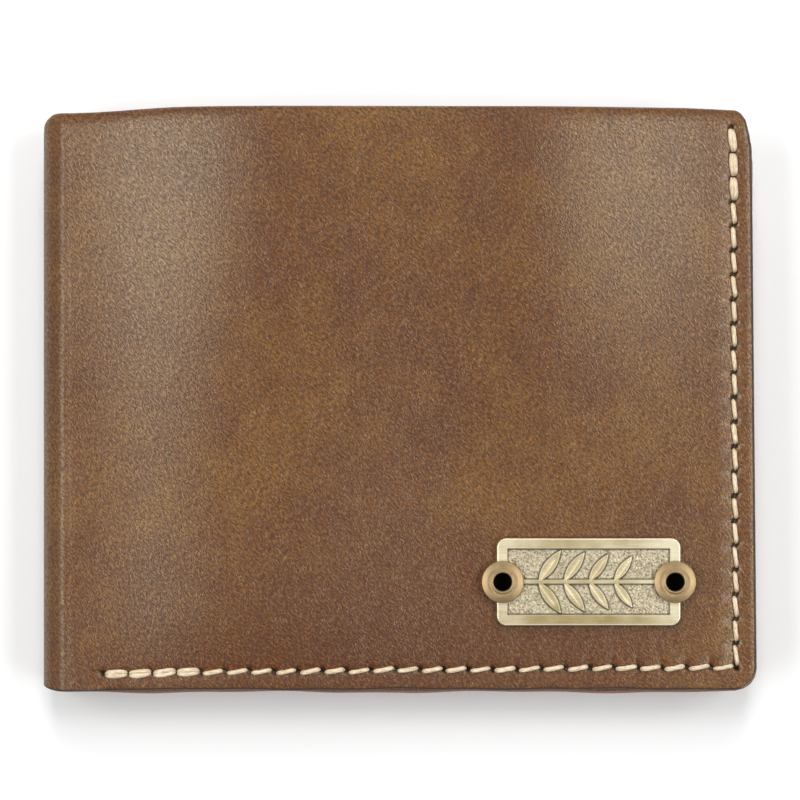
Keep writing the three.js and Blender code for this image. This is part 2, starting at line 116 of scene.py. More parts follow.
# ---- Sizes of the leather, as in the CAD model ----
COVER = 1.4
BILL_GAP = 1.2
DIVIDER = 0.7
POCKET = 0.6
HEM = 0.7
HEM_FOOT = TOP - 12
HEM_BAND = 1.75  # height of the turned top edge as it is seen from above
FOLD_RADIUS = 4
CORNER = 3.8
UPPER_CORNER = 1.8
EDGE_ROUND = 0.3  # how far the round of a thin leather's edge reaches in
ROUND_SIDES = (EDGE_ROUND,) * 4
ALL_BUT_LEFT = (0, EDGE_ROUND, EDGE_ROUND, EDGE_ROUND)
CREASE_DEPTH = 0.08  # of the lines along the mouths of slots and window
CREASE_WIDTH = 0.22
EAR_HEIGHT = 10
EAR_WIDTH = 6.5
CROWN = 5  # how far the front cover bows out over the notes
CROWN_REACH = (19, 57)  # the half width over which the bow is level, and the one where it ends
CROWN_RISE = (-20, 44)
PILLOW = 1.8  # how far the cover swells next to the fold
PILLOW_RISE = (0, 26)
PILLOW_FALL = (30, 68)
LEAN = 0.85  # how far the right edge leans in at its top
CORNER_LEAN = 1.3
SEAM = 3.2
WINDOW_CENTRE = (3, -3)
WINDOW_SIZE = (82, 50)
WINDOW_CORNER = 4

STRAIGHT = THICK / 2 - FOLD_RADIUS
FLAT_START = STRAIGHT + FOLD_RADIUS * math.pi / 2
FLAT_OFFSET = FLAT_START - LEFT - FOLD_RADIUS  # from x on a flat leaf to the distance along the pattern
SHEET_END = RIGHT + FLAT_OFFSET
DIVIDER_FACE = COVER + BILL_GAP + DIVIDER

# ---- Stitching ----
BOTTOM_STITCHES = 26
SIDE_STITCHES = 22
DOUBLED_BOTTOM = 4  # the thread runs twice through the first holes
DOUBLED_SIDE = 3
SEAM_START = np.round((LEFT + 9.9, BOTTOM + 2.8), 3)
SEAM_CORNER = np.round((RIGHT - 3.35, BOTTOM + 3.75), 3)
SEAM_TOP = np.round((RIGHT - 3.05, TOP - 2.9), 3)
STITCH_INSET = 0.42  # from the middle of a hole to where the thread comes out
THREAD_WIDTH = 0.37  # half of it
THREAD_HEIGHT = 0.32
THREAD_PAIR = 0.3  # how far each of two strands is from the seam
THREAD_STAND = 0.1  # how far a stitch stands off the leather in its middle
OUTER_SLANT = (0.26, 0.16)  # of the bottom row's stitches and of the side row's
INNER_SLANT = (0.2, 0.12)
STRAND_RINGS = 22
STRAND_SIDES = 16
PLIES = 3
BOTTOM_SLIT = -0.9  # how far the awl's slits are turned, in radians
SIDE_SLIT = 0.5


# ---- Small curves ----
def smooth(t):
    """0 before 0, 1 after 1, and an even curve between them."""
    t = np.clip(t, 0, 1)
    return t * t * (3 - 2 * t)


def ramp(value, start, end):
    return smooth((value - start) / (end - start))


def bell(value, width):
    return np.exp(-((value / width) ** 2))


def rotated(x, y, turn):
    """A place in axes that are turned by an angle."""
    return x * math.cos(turn) + y * math.sin(turn), y * math.cos(turn) - x * math.sin(turn)


def evenly(start, end, count):
    """The ends of count equal steps."""
    return [start + (end - start) * t for t in np.linspace(0, 1, count + 1)]


BOTTOM_HOLES = evenly(SEAM_START, SEAM_CORNER, BOTTOM_STITCHES)
SIDE_HOLES = evenly(SEAM_CORNER, SEAM_TOP, SIDE_STITCHES)


# ---- Meshes ----
def new_object(name, data):
    made = bpy.data.objects.new(name, data)
    bpy.context.scene.collection.objects.link(made)
    return made


def make_object(name, vertices, quads, caps=(), attributes=None, sharp=40):
    """A closed mesh with its faces turned outwards. Attributes are given per vertex."""
    vertices = np.asarray(vertices, float)
    groups = [np.asarray(group) for group in (quads, caps) if len(group)]
    volume = 0
    for group in groups:
        for i in range(1, group.shape[1] - 1):
            a, b, c = (vertices[group[:, k]] for k in (0, i, i + 1))
            volume += np.einsum("ij,ij->i", a, np.cross(b, c)).sum()
    faces = [face for group in groups for face in (group if volume > 0 else group[:, ::-1]).tolist()]
    mesh = bpy.data.meshes.new(name)
    mesh.from_pydata((vertices * MM).tolist(), [], faces)
    mesh.shade_smooth()
    mesh.set_sharp_from_angle(angle=math.radians(sharp))
    for key, values in (attributes or {}).items():
        values = np.asarray(values, np.float32)
        kind = "FLOAT" if values.ndim == 1 else "FLOAT_VECTOR"
        layer = mesh.attributes.new(key, kind, "POINT")
        layer.data.foreach_set("value" if values.ndim == 1 else "vector", values.ravel())
    return new_object(name, mesh)


def finish_piece(piece, material, nodes=(), body=None):
    piece.data.materials.append(material)
    if nodes:
        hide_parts(*nodes)
    if body:
        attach(piece, body)
    return piece


def stations(low, high, step, extra=()):
    """Grid stations about a step apart, with extra ones where the shape changes."""
    count = max(2, round((high - low) / step) + 1)
    found = sorted([*np.linspace(low, high, count), *[value for value in extra if low < value < high]])
    kept = [found[0]]
    for value in found[1:]:
        if value - kept[-1] > 0.1:
            kept.append(value)
    kept[-1] = high
    return np.array(kept)


HOLE_OFFSETS = (-0.6, -0.25, 0.25, 0.6)


def near_holes(places):
    """Stations that are close together at stitch holes."""
    return [place + offset for place in places for offset in HOLE_OFFSETS]


def squeezed(places, low_inset, high_inset, low_zone, high_zone):
    """The stations with both ends moved in, where only the zone next to each end gives way."""
    low, high = places[0], places[-1]
    given = (low, low + low_zone, high - high_zone, high)
    return np.interp(places, given, (low + low_inset, *given[1:3], high - high_inset))


def outline_grid(xs, ys, insets, corners):
    """The stations' grid on a rectangle with rounded corners, moved in from its outline.

    Insets are left, right, bottom, top. Corners are bottom left, bottom right, top right, top left.
    """
    ends = ((0, 3), (1, 2), (0, 1), (2, 3))  # the two corners at the end of each side
    zones = [max(2.0, corners[i] + 0.01, corners[j] + 0.01) for i, j in ends]
    columns = squeezed(xs, *insets[:2], *zones[:2])
    grid = np.meshgrid(columns, squeezed(ys, *insets[2:], *zones[2:]))
    for radius, sides in zip(corners, ((0, 2), (1, 2), (1, 3), (0, 3))):
        if not radius:
            continue
        axes = []
        for values, places, side in zip(grid, (xs, ys), sides):
            sign = 1 if side % 2 else -1
            centre = places[-1 if side % 2 else 0] - sign * radius
            reach = sign * (radius - insets[side])
            axes.append((centre, reach, (values - centre) / reach))
        inside = (axes[0][2] > 0) & (axes[1][2] > 0)
        for i, (centre, reach, share) in enumerate(axes):
            across = axes[1 - i][2]
            rounded = share * np.sqrt(np.clip(1 - across * across / 2, 0, 1))
            grid[i] = np.where(inside, centre + reach * rounded, grid[i])
    return grid


def perimeter(grid):
    """The values round a grid's edge, anticlockwise from its first corner."""
    return np.concatenate([grid[0, :-1], grid[:-1, -1], grid[-1, :0:-1], grid[:0:-1, 0]])


def skin(loops, closed=False):
    """The quads between each loop of vertices and the next, and from the last to the first if closed."""
    loops = np.asarray(loops)
    lower = loops if closed else loops[:-1]
    upper = np.roll(loops, -1, axis=0)[: len(lower)]
    quads = np.stack([np.roll(lower, -1, axis=1), lower, upper, np.roll(upper, -1, axis=1)], axis=-1)
    return quads.reshape(-1, 4)


def panel(name, xs, ys, place, thick, rounding, corners=(0, 0, 0, 0), rings=6, relief=None, paint=None):
    """A closed sheet with rounded edges, from its pattern.

    place(x, y, depth) folds a point of the pattern into its place. thick is a number or a function of
    (x, y). rounding is how far the round of each edge reaches in: left, right, bottom, top. relief(x, y) is
    how far the outside stands above the pattern. paint(x, y, share) gives attributes, where share is 0 on
    the outside and 1 on the inside.
    """
    xs, ys = np.asarray(xs, float), np.asarray(ys, float)
    rounding = np.asarray(rounding, float)
    grid_x, grid_y = outline_grid(xs, ys, rounding, corners)
    layers = [(grid_x.ravel(), grid_y.ravel(), np.full(grid_x.size, share)) for share in (0.0, 1.0)]
    for k in range(1, rings):
        turn = math.pi * k / rings
        ring = outline_grid(xs, ys, rounding * (1 - math.sin(turn)), corners)
        ring_x, ring_y = perimeter(ring[0]), perimeter(ring[1])
        layers.append((ring_x, ring_y, np.full(ring_x.size, (1 - math.cos(turn)) / 2)))
    x, y, share = (np.concatenate([layer[i] for layer in layers]) for i in range(3))
    depth = share * (thick(x, y) if callable(thick) else thick)
    if relief:
        outside = share == 0
        depth[outside] -= relief(x[outside], y[outside])
    points = np.stack(place(x, y, depth), axis=1)

    size = grid_x.size
    index = np.arange(size).reshape(grid_x.shape)
    around = [index[:-1, :-1], index[:-1, 1:], index[1:, 1:], index[1:, :-1]]
    quads = np.stack(around, axis=-1).reshape(-1, 4)
    edge = perimeter(index)
    round_edge = 2 * size + np.arange((rings - 1) * edge.size).reshape(rings - 1, edge.size)
    faces = [quads, quads[:, [0, 3, 2, 1]] + size, skin([edge, *round_edge, edge + size])]
    attributes = {"rest": np.stack([x, y, depth], axis=1)}
    if paint:
        attributes.update(paint(x, y, share))
    return make_object(name, points, np.concatenate(faces), attributes=attributes)


def pits(holes, x, y):
    """How deep each point is in a stitch hole, from 0 to 1. Holes are slits, each (x, y, turn)."""
    depth = np.zeros(x.shape)
    for hole_x, hole_y, turn in holes:
        near = (np.abs(x - hole_x) < 2) & (np.abs(y - hole_y) < 2)
        along, across = rotated(x[near] - hole_x, y[near] - hole_y, turn)
        depth[near] = np.maximum(depth[near], bell(along, 0.6) * bell(across, 0.3))
    return depth


def leather_paint(xs, ys, raw=(True, True, True, True), holes=(), turned_at=None, shaded=()):
    """A sheet's attributes: distance to a raw edge, side, painted shade in stitch holes, and where it is
    turned.

    raw says which of the left, right, bottom and top edges are raw. shaded is a list of spots of painted
    shade.
    """

    def paint(x, y, share):
        distances = zip(raw, (x - xs[0], xs[-1] - x, y - ys[0], ys[-1] - y))
        edge = np.minimum.reduce([distance for is_raw, distance in distances if is_raw])
        bend = turned_at(x, y) if turned_at else np.zeros(x.shape)
        # painted shade: dark in the stitch holes, and in spots that lie in shadow under the eyelets
        pit = pits(holes, x, y) * (share < 0.5)
        for dark_x, dark_y, radius in shaded:
            pit = np.maximum(pit, 1 - ramp(np.hypot(x - dark_x, y - dark_y), radius, radius + 0.6))
        return {"edge": edge, "inside": share, "pit": pit, "bend": bend}

    return paint


# ---- How leather lies in the closed wallet ----
def standout(x, y):
    """How far the front cover bows out: over the bill compartment, and a little along the fold."""
    rise = ramp(y, *CROWN_RISE)
    crown = CROWN * (1 - ramp(np.abs(x), *CROWN_REACH)) * rise
    flat = x - LEFT - FOLD_RADIUS
    pillow = PILLOW * ramp(flat, *PILLOW_RISE) * (1 - ramp(flat, *PILLOW_FALL))
    pillow = pillow * (0.4 + 0.6 * ramp(y, BOTTOM, BOTTOM + 14))
    return crown + pillow * (1 - 0.6 * rise)


def lean(x, y):
    """How far the right edge leans in towards its top, and its upper corner a little more."""
    rise = (y - BOTTOM) / (TOP - BOTTOM)
    corner = CORNER_LEAN * ramp(y, TOP - 7, TOP + 1) * ramp(x, RIGHT - 6, RIGHT)
    return LEAN * rise * ramp(x, RIGHT - 40, RIGHT) + corner


def on_fold(along, depth):
    """x and z of a point of a leather that is folded round the spine, on the upper half."""
    turn = np.clip((along - STRAIGHT) / FOLD_RADIUS, 0, math.pi / 2)
    radius = FOLD_RADIUS - depth
    x = LEFT + FOLD_RADIUS - radius * np.cos(turn) + np.maximum(along - FLAT_START, 0)
    z = THICK - FOLD_RADIUS + radius * np.sin(turn) + np.minimum(along - STRAIGHT, 0)
    return x, z


def level(height):
    """Lays a sheet flat, with its outside at a height."""

    def place(x, y, depth):
        return x, y, height - depth

    return place


def turned(side, z):
    """A height of the front leaf as it is on the given side, which is 1 for front and -1 for back."""
    return z if side > 0 else THICK - z


def cover_place(side):
    """Folds the cover round the spine. Its top edge sags and its bottom edge lifts next to the fold."""

    def place(along, y, depth):
        x, z = on_fold(along, depth)
        flat = along - FLAT_START
        sag = 0.75 * (1 - ramp(flat, 0, 20)) + 0.8 * (1 - ramp(flat, -6, -2)) + 0.35 * ramp(flat, 98, 112)
        lift = 0.4 * (1 - ramp(flat, -6, -1)) + 0.3 * ramp(flat, 3, 12)
        lift = lift + 0.07 * np.sin(0.21 * along + 0.6) + 0.05 * np.sin(0.53 * along)
        y = y - sag * ramp(y, 10, TOP) + lift * (1 - ramp(y, BOTTOM, BOTTOM + 12))
        x = x - lean(x, y)
        if side > 0:
            z = z + standout(x, y)
        return x, y, turned(side, z)

    return place


def proud(x, y):
    """The layers inside a leaf stand out a little from under the cover's cut edges."""
    right = 0.1 + 0.2 * ramp(y, INTERIOR_TOP - 20, INTERIOR_TOP) + 0.2 * (1 - ramp(y, BOTTOM, BOTTOM + 9))
    below = 0.25 + 0.14 * np.sin(0.17 * x + 2) + 0.08 * np.sin(0.43 * x)
    moved_x = x + right * ramp(x, RIGHT - 8, RIGHT) - lean(x, y)
    return moved_x, y - below * (1 - ramp(y, BOTTOM, BOTTOM + 8))


# ---- Cover ----
STITCH_PULL = 0.12  # how deep a row of stitches lies in the leather
COVER_PIT = 0.8
COVER_HOLES = [(x + FLAT_OFFSET, y, BOTTOM_SLIT) for x, y in BOTTOM_HOLES]
COVER_HOLES += [(x + FLAT_OFFSET, y, SIDE_SLIT) for x, y in SIDE_HOLES[1:]]


def cover_thickness(x, y):
    return COVER + HEM * ramp(y, HEM_FOOT - 0.9, HEM_FOOT)


def seam_dip(along, across, start, end):
    """How far a row of stitches pulls the leather in, with start and end as (along, across)."""
    share = np.clip((along - start[0]) / (end[0] - start[0]), 0, 1)
    aside = across - start[1] - share * (end[1] - start[1])
    on_row = ramp(along, start[0] - 1.5, start[0]) * (1 - ramp(along, end[0], end[0] + 1.5))
    return STITCH_PULL * bell(aside, 0.8) * on_row


def cover_relief(x, y):
    """The leather is pulled in by the stitches and creased where it turns round the spine."""
    flat_x = x - FLAT_OFFSET
    seams = seam_dip(flat_x, y, SEAM_START, SEAM_CORNER)
    seams = seams + seam_dip(y, flat_x, SEAM_CORNER[::-1], SEAM_TOP[::-1])
    flat = x - FLAT_START
    shoulder = 0.22 * ramp(flat, -2.1, -0.5) * (1 - ramp(flat, 0, 12)) - 0.05 * bell(flat - 0.1, 0.3)
    wrinkles = 0.05 * np.sin(y * 0.21 + 1) * bell(flat + 1.5, 2.5)
    hem = -0.05 * bell(y - TOP + HEM_BAND, 0.3)
    rim = 0.08 * bell(SHEET_END - x - 0.9, 0.3)
    return shoulder + wrinkles + hem + rim - seams - COVER_PIT * pits(COVER_HOLES, x, y)


def cover_bend(x, y):
    """Where the cover is turned: round the spine and over its top edge."""
    round_spine = 1 - ramp(x - FLAT_START, -1.2, 0.2)
    band = TOP - HEM_BAND
    return np.maximum(round_spine, ramp(y, band - 0.25, band + 0.25))


def build_covers(leather):
    shoulder = [*np.linspace(STRAIGHT, FLAT_START + 3, 24), SHEET_END - 1.6, SHEET_END - 0.8]
    xs = stations(0, SHEET_END, 2.0, [*near_holes([x for x, _, _ in COVER_HOLES]), *shoulder])
    band = [TOP - HEM_BAND + step for step in (-0.35, 0, 0.35)]
    edges = [BOTTOM + 0.8, BOTTOM + 1.6, HEM_FOOT - 0.9, HEM_FOOT, *band]
    rows = near_holes([y for _, y in SIDE_HOLES] + [SEAM_START[1]])
    ys = stations(BOTTOM, TOP, 2.0, [*rows, *edges])
    paint = leather_paint(xs, ys, (False, True, True, False), COVER_HOLES, cover_bend)
    rounding = (0, 0.55, 0.42, HEM_BAND)
    shape = {"corners": (0, CORNER, UPPER_CORNER, 0), "rings": 10, "relief": cover_relief, "paint": paint}
    for side, leaf, nodes in ((1, "front", ["front_cover", "spine_cover"]), (-1, "back", ["back_cover"])):
        name = f"{leaf}_cover_leather"
        piece = panel(name, xs, ys, cover_place(side), cover_thickness, rounding, **shape)
        finish_piece(piece, leather, nodes)
        if side > 0:
            drill(piece, THICK - 4, THICK + 4)
        blend_round_fold(piece)


def blend_round_fold(piece):
    """Bakes the piece's place into its mesh."""
    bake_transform(piece)


def drill(piece, low, high, sides=48):
    """Cuts the eyelets' holes through a piece, between two heights."""
    turn = np.linspace(0, 2 * math.pi, sides, endpoint=False)
    loops = np.arange(2 * sides).reshape(2, sides)
    caps = [loops[0, ::-1], loops[1]]
    for x in EYELET_X:
        ring = np.stack([x + EYELET_HOLE * np.cos(turn), PLATE_Y + EYELET_HOLE * np.sin(turn)], axis=1)
        points = [[*point, level] for level in (low, high) for point in ring]
        cutter = make_object("cutter", points, skin(loops), caps)
        cut = piece.modifiers.new("hole", "BOOLEAN")
        cut.operation = "DIFFERENCE"
        cut.solver = "EXACT"
        cut.object = cutter
        bpy.context.view_layer.objects.active = piece
        bpy.ops.object.modifier_apply(modifier=cut.name)
        bpy.data.objects.remove(cutter)


# ---- Bill dividers and the strips that space them from the covers ----
SHADE = 1.7  # radius of the dark spot on the divider under an eyelet
DIVIDER_CREASE = 1.6  # from the divider's top edge
SPACER_PLAY = 0.03


def divider_place(side):
    """Folds the divider round the spine, inside the cover."""

    def place(along, y, depth):
        x, z = on_fold(along, DIVIDER_FACE - depth)
        x, y = proud(x, y)
        return x, y, turned(side, z)

    return place


def divider_relief(x, y):
    return -0.07 * bell(INTERIOR_TOP - DIVIDER_CREASE - y, 0.25)


def build_dividers(leather):
    shaded = [(x + FLAT_OFFSET, PLATE_Y, SHADE) for x in EYELET_X]
    rings = (-2.4, -2.0, -1.6, 1.6, 2.0, 2.4)
    shoulder = np.linspace(STRAIGHT, FLAT_START, 14)
    columns = [x + step for x, _, _ in shaded for step in rings]
    rows = [PLATE_Y + step for step in rings]
    edges = [BOTTOM + 0.4, INTERIOR_TOP - 0.4, INTERIOR_TOP - DIVIDER_CREASE]
    xs = stations(0, SHEET_END, 1.6, [*shoulder, *columns, SHEET_END - 0.4])
    ys = stations(BOTTOM, INTERIOR_TOP, 1.6, [*rows, *edges])
    paint = leather_paint(xs, ys, (False, True, True, True), shaded=shaded)
    shape = {"corners": (0, CORNER, 1, 0), "relief": divider_relief, "paint": paint}
    fronts = ["front_bill_divider", "spine_bill_divider"]
    for side, leaf, nodes in ((1, "front", fronts), (-1, "back", ["back_bill_divider"])):
        name = f"{leaf}_divider_leather"
        piece = panel(name, xs, ys, divider_place(side), DIVIDER, ALL_BUT_LEFT, **shape)
        finish_piece(piece, leather, nodes)
        blend_round_fold(piece)
        build_spacers(leather, side, leaf)


def spacer_place(side):
    """Lays a strip against the inside of the cover, a little in from the cover's edges."""

    def place(x, y, depth):
        x, y = proud(x, y)
        inset = 0.1 * (1 - ramp(y, BOTTOM, BOTTOM + 8))
        return x - 0.12, y + inset, turned(side, THICK - COVER - SPACER_PLAY - depth)

    return place


def build_spacers(leather, side, leaf):
    """The strips between cover and divider along the two sewn edges."""
    width = 2 * SEAM
    foot = BOTTOM + width
    strips = (
        ("bottom", stations(POCKET_LEFT, RIGHT, 1.5), stations(BOTTOM, foot, 0.8), CORNER),
        ("side", stations(RIGHT - width, RIGHT, 0.8), stations(foot + 0.05, HEM_FOOT, 1.5), 0),
    )
    thick = BILL_GAP - 2 * SPACER_PLAY
    for name, xs, ys, radius in strips:
        shape = {"corners": (0, radius, 0, 0), "paint": leather_paint(xs, ys)}
        piece = panel(f"{leaf}_spacer_{name}", xs, ys, spacer_place(side), thick, ROUND_SIDES, **shape)
        finish_piece(piece, leather, body=f"{leaf}_leaf")


# ---- Card slots ----
SLOT_CREASE = 1.5  # from a slot's mouth
SLOT_PIT = 0.35
SLOT_SEAM_X = POCKET_LEFT + 2.6
SLOT_SEAM_FOOT = np.array([SLOT_SEAM_X, SEAM_START[1] + 4])
SLOT_SEAM = evenly(SLOT_SEAM_FOOT, np.array([SLOT_SEAM_X, SLOT_TOPS[0] - 2.5]), 18)


def card_slot(leather, leaf, place, right, y_range, face, facing, holes):
    """A card slot. Its outside is at the height face and looks up (facing 1) or down (-1).

    A slot that lies under another is narrow below its ears, so that the seams aren't too thick.
    """
    left = POCKET_LEFT
    foot, top = y_range
    eared = place != "lower"
    middle, half = (left + right) / 2, (right - left) / 2
    crease = top - SLOT_CREASE
    ear_foot = top - EAR_HEIGHT
    columns = near_holes([x for x, _, _ in holes])
    rows = near_holes(sorted({round(y, 1) for _, y, _ in holes}))
    details = [top - 0.3, crease - 0.3, crease, crease + 0.3]
    ear_rows = [ear_foot + step for step in (-0.7, -0.35, 0, 0.35, 0.7)] if eared else []
    xs = stations(left, right, 1.5, [*columns, left + 0.3, right - 0.3])
    ys = stations(foot, top, 1.5, [*rows, *details, *ear_rows, foot + 0.3])

    def slot_place(x, y, depth):
        loft = 0.25 * bell(top - y, 4) * np.clip(1 - ((x - middle) / half) ** 4, 0, 1)
        z = face - facing * (depth - loft)
        if eared:
            inset = EAR_WIDTH * (1 - ramp(y, ear_foot - 0.6, ear_foot + 0.6))
            x = middle + (x - middle) * (1 - inset / half)
        if leaf != "centre":
            x, y = proud(x, y)
        return x, y, z

    def relief(x, y):
        return -CREASE_DEPTH * bell(y - crease, CREASE_WIDTH) - SLOT_PIT * pits(holes, x, y)

    corners = (0, 0 if eared else CORNER, 0, 0)
    shape = {"corners": corners, "relief": relief, "paint": leather_paint(xs, ys, holes=holes)}
    piece = panel(f"{leaf}_slot_{place}", xs, ys, slot_place, POCKET, ROUND_SIDES, **shape)
    finish_piece(piece, leather, [f"{leaf}_card_slot_{place}"], f"{leaf}_leaf")


def build_leaf_slots(leather):
    tops = [*SLOT_TOPS, BOTTOM]
    feet = [*SLOT_FEET[:2], BOTTOM]
    for side, leaf in ((1, "front"), (-1, "back")):
        for i, place in enumerate(("upper", "middle", "lower")):
            seams = (*SIDE_HOLES, *SLOT_SEAM)
            holes = [(x, y, SIDE_SLIT) for x, y in seams if tops[i + 1] < y < tops[i]]
            if place == "lower":
                holes += [(x, y, BOTTOM_SLIT) for x, y in BOTTOM_HOLES]
            face = turned(side, THICK - SLOT_FACES[i])
            card_slot(leather, leaf, place, RIGHT, (feet[i], tops[i]), face, -side, holes)


# ---- Centre leaf ----
ROOT_X = LEFT + DIVIDER_FACE + 0.05  # inner face of the divider at the spine
ROOT_THICK = 0.6
ROOT_HALF = 2.9  # half the width of the strip the leaf hangs on
ROOT_SEAM = 1.7  # from the strip's middle to its stitches
ROOT_THREAD = (0.35, 0.25)  # half its width, and its height
LEAF_SEAM_CORNER = np.array([LEAF_RIGHT - SEAM, LEAF_BOTTOM + SEAM])
LEAF_SEAM_START = np.array([SEAM_START[0] + 0.1, LEAF_BOTTOM + SEAM])
LEAF_SEAM_TOP = np.array([LEAF_RIGHT - SEAM, LEAF_TOP - SEAM])
LEAF_BOTTOM_HOLES = evenly(LEAF_SEAM_START, LEAF_SEAM_CORNER, 25)
LEAF_SIDE_HOLES = evenly(LEAF_SEAM_CORNER, LEAF_SEAM_TOP, 19)
FRAME_CREASE = 1.5  # from the window's opening
FRAME_PATTERN = 150  # moves the frame to its own part of the leather's pattern


def rounded_outline(low, high, radius, side_points=24, corner_points=10):
    """Points anticlockwise round a rectangle with rounded corners."""
    left, bottom = low[0] + radius, low[1] + radius
    right, top = high[0] - radius, high[1] - radius
    arcs = []
    for i, centre in enumerate(((left, bottom), (right, bottom), (right, top), (left, top))):
        angle = math.pi + i * math.pi / 2 + np.linspace(0, math.pi / 2, corner_points)
        arcs.append(centre + radius * np.stack([np.cos(angle), np.sin(angle)], axis=1))
    points = []
    for i, corner in enumerate(arcs):
        side = evenly(corner[-1], arcs[(i + 1) % 4][0], side_points + 1)
        points += [*corner, *side[1:-1]]
    return np.array(points)


def window_frame(leather):
    """The leather frame round the identity window, with rounded edges and a crease along the opening."""
    half = np.array(WINDOW_SIZE) / 2
    centre = np.array(WINDOW_CENTRE)
    inner = rounded_outline(centre - half, centre + half, WINDOW_CORNER)
    outer = rounded_outline((POCKET_LEFT, LEAF_BOTTOM), (LEAF_RIGHT, LEAF_TOP), CORNER)
    width = np.linalg.norm(outer - inner, axis=1)
    flat = [0.9, 1.2, 1.5, *np.linspace(2.2, 9.4, 8)]
    turns = np.linspace(0, math.pi, 7)
    section = [(EDGE_ROUND * (1 - math.sin(turn)), (1 + math.cos(turn)) / 2) for turn in turns]
    loop = [(distance, depth, False) for distance, depth in section]
    loop += [(EDGE_ROUND + distance, 0.0, False) for distance in flat]
    loop += [(distance, 1 - depth, True) for distance, depth in section]
    distance, depth, from_outer = (np.array(column)[:, None] for column in zip(*loop))
    groove = CREASE_DEPTH * bell(distance - FRAME_CREASE, CREASE_WIDTH) * (~from_outer & (depth == 0))
    share = np.where(from_outer, 1 - distance / width, distance / width)
    points = (inner + (outer - inner) * share[..., None]).reshape(-1, 2)
    edge = np.tile(distance, len(inner)).ravel()
    depth = np.tile(depth * POCKET + groove, len(inner)).ravel()
    index = np.arange(len(points)).reshape(-1, len(inner))
    rest = np.column_stack([points + FRAME_PATTERN, depth])
    attributes = {"rest": rest, "edge": edge, "inside": depth / POCKET}
    place = np.column_stack([points, frame_high[2] - depth])
    piece = make_object("centre_frame", place, skin(index, closed=True), attributes=attributes)
    finish_piece(piece, leather, ["centre_window_frame"], "centre_leaf")


def centre_core(leather):
    """The centre leaf's middle layer, from the strip at the spine to the leaf's right edge, with close
    stations about the hinge.
    """
    hinge = np.linspace(HINGE_X - 0.5, HINGE_X + 2.3, 12)
    xs = stations(ROOT_X + ROOT_THICK / 2, LEAF_RIGHT, 1.8, hinge)
    ys = stations(LEAF_BOTTOM, LEAF_TOP, 1.8, [LEAF_BOTTOM + 0.3, LEAF_TOP - 0.3])
    shape = {"corners": (0, CORNER, CORNER, 0), "paint": leather_paint(xs, ys, (False, True, True, True))}
    thick = core_high[2] - core_low[2]
    piece = panel("centre_core_leather", xs, ys, level(core_high[2]), thick, ALL_BUT_LEFT, **shape)
    finish_piece(piece, leather, ["centre_leaf_core"])
    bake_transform(piece)


def centre_root(leather):
    """The strip that is sewn to the divider at the spine, and that the centre leaf hangs on."""
    xs = stations(-ROOT_HALF, ROOT_HALF, 0.6)
    ys = stations(LEAF_BOTTOM, LEAF_TOP, 1.8)

    def place(across, y, depth):
        return ROOT_X + ROOT_THICK - depth, y, HINGE_Z + across

    paint = leather_paint(xs, ys)
    piece = panel("centre_leaf_root", xs, ys, place, ROOT_THICK, (0.2,) * 4, paint=paint)
    finish_piece(piece, leather, body="spine")


def window_film(clear):
    half = np.array(WINDOW_SIZE) / 2 + 5
    low, high = np.array(WINDOW_CENTRE) - half, np.array(WINDOW_CENTRE) + half
    thick = film_high[2] - film_low[2]

    def place(x, y, depth):
        wave = 0.03 * np.sin(0.21 * x + 0.1 * y) + 0.03 * np.sin(0.17 * y - 0.08 * x)
        return x, y, film_high[2] - depth + wave

    xs, ys = (stations(low[i], high[i], 2.5) for i in (0, 1))
    piece = panel("centre_film", xs, ys, place, thick, (0.1,) * 4, (WINDOW_CORNER,) * 4)
    finish_piece(piece, clear, ["centre_window_film"], "centre_leaf")


def centre_slots(leather):
    tops = [*LEAF_SLOT_TOPS, LEAF_BOTTOM]
    for i, place in enumerate(("upper", "lower")):
        low, high = leaf_slot_boxes[i]
        holes = [(x, y, SIDE_SLIT) for x, y in LEAF_SIDE_HOLES if tops[i + 1] < y < tops[i]]
        if place == "lower":
            holes += [(x, y, BOTTOM_SLIT) for x, y in LEAF_BOTTOM_HOLES]
        card_slot(leather, "centre", place, LEAF_RIGHT, (low[1], high[1]), low[2], -1, holes)


def build_centre_leaf(lining, pocket, clear):
    centre_core(lining)
    centre_root(lining)
    window_frame(pocket)
    window_film(clear)
    centre_slots(pocket)


# ---- Thread ----
def strand(start, end, up, width, height, bury=0.9, bow=0.0):
    """A stitch of twisted thread that comes out of the leather at its start and goes in at its end."""
    start, end, up = (np.asarray(v, float) for v in (start, end, up))
    run = end - start
    length = np.linalg.norm(run)
    across = np.cross(up, run / length)
    t = np.linspace(0, 1, STRAND_RINGS)
    dive = np.abs(2 * t - 1) ** 6
    centre = start + np.outer(t, run) + np.outer(THREAD_STAND - (THREAD_STAND + bury) * dive, up)
    centre += np.outer(bow * np.sin(math.pi * t), across)
    tangent = np.gradient(centre, axis=0)
    tangent /= np.linalg.norm(tangent, axis=1)[:, None]
    lift = np.cross(tangent, across)
    angle = np.linspace(0, 2 * math.pi, STRAND_SIDES, endpoint=False)
    plies = 1 + 0.06 * np.cos(PLIES * angle[None, :] - 7.5 * t[:, None])
    taper = (1 - 0.3 * dive[:, None]) * plies
    wide = width * taper * np.cos(angle)
    tall = height * taper * np.sin(angle)
    points = centre[:, None, :] + wide[..., None] * across + tall[..., None] * lift[:, None, :]
    points = np.concatenate([points.reshape(-1, 3), centre[[0]], centre[[-1]]])
    ring = np.stack([np.zeros(STRAND_SIDES), width * np.cos(angle), width * np.sin(angle)], axis=1)
    rest = [ring + (share * length, 0, 0) for share in t]
    return points, np.concatenate([*rest, [[0, 0, 0]], [[length, 0, 0]]])


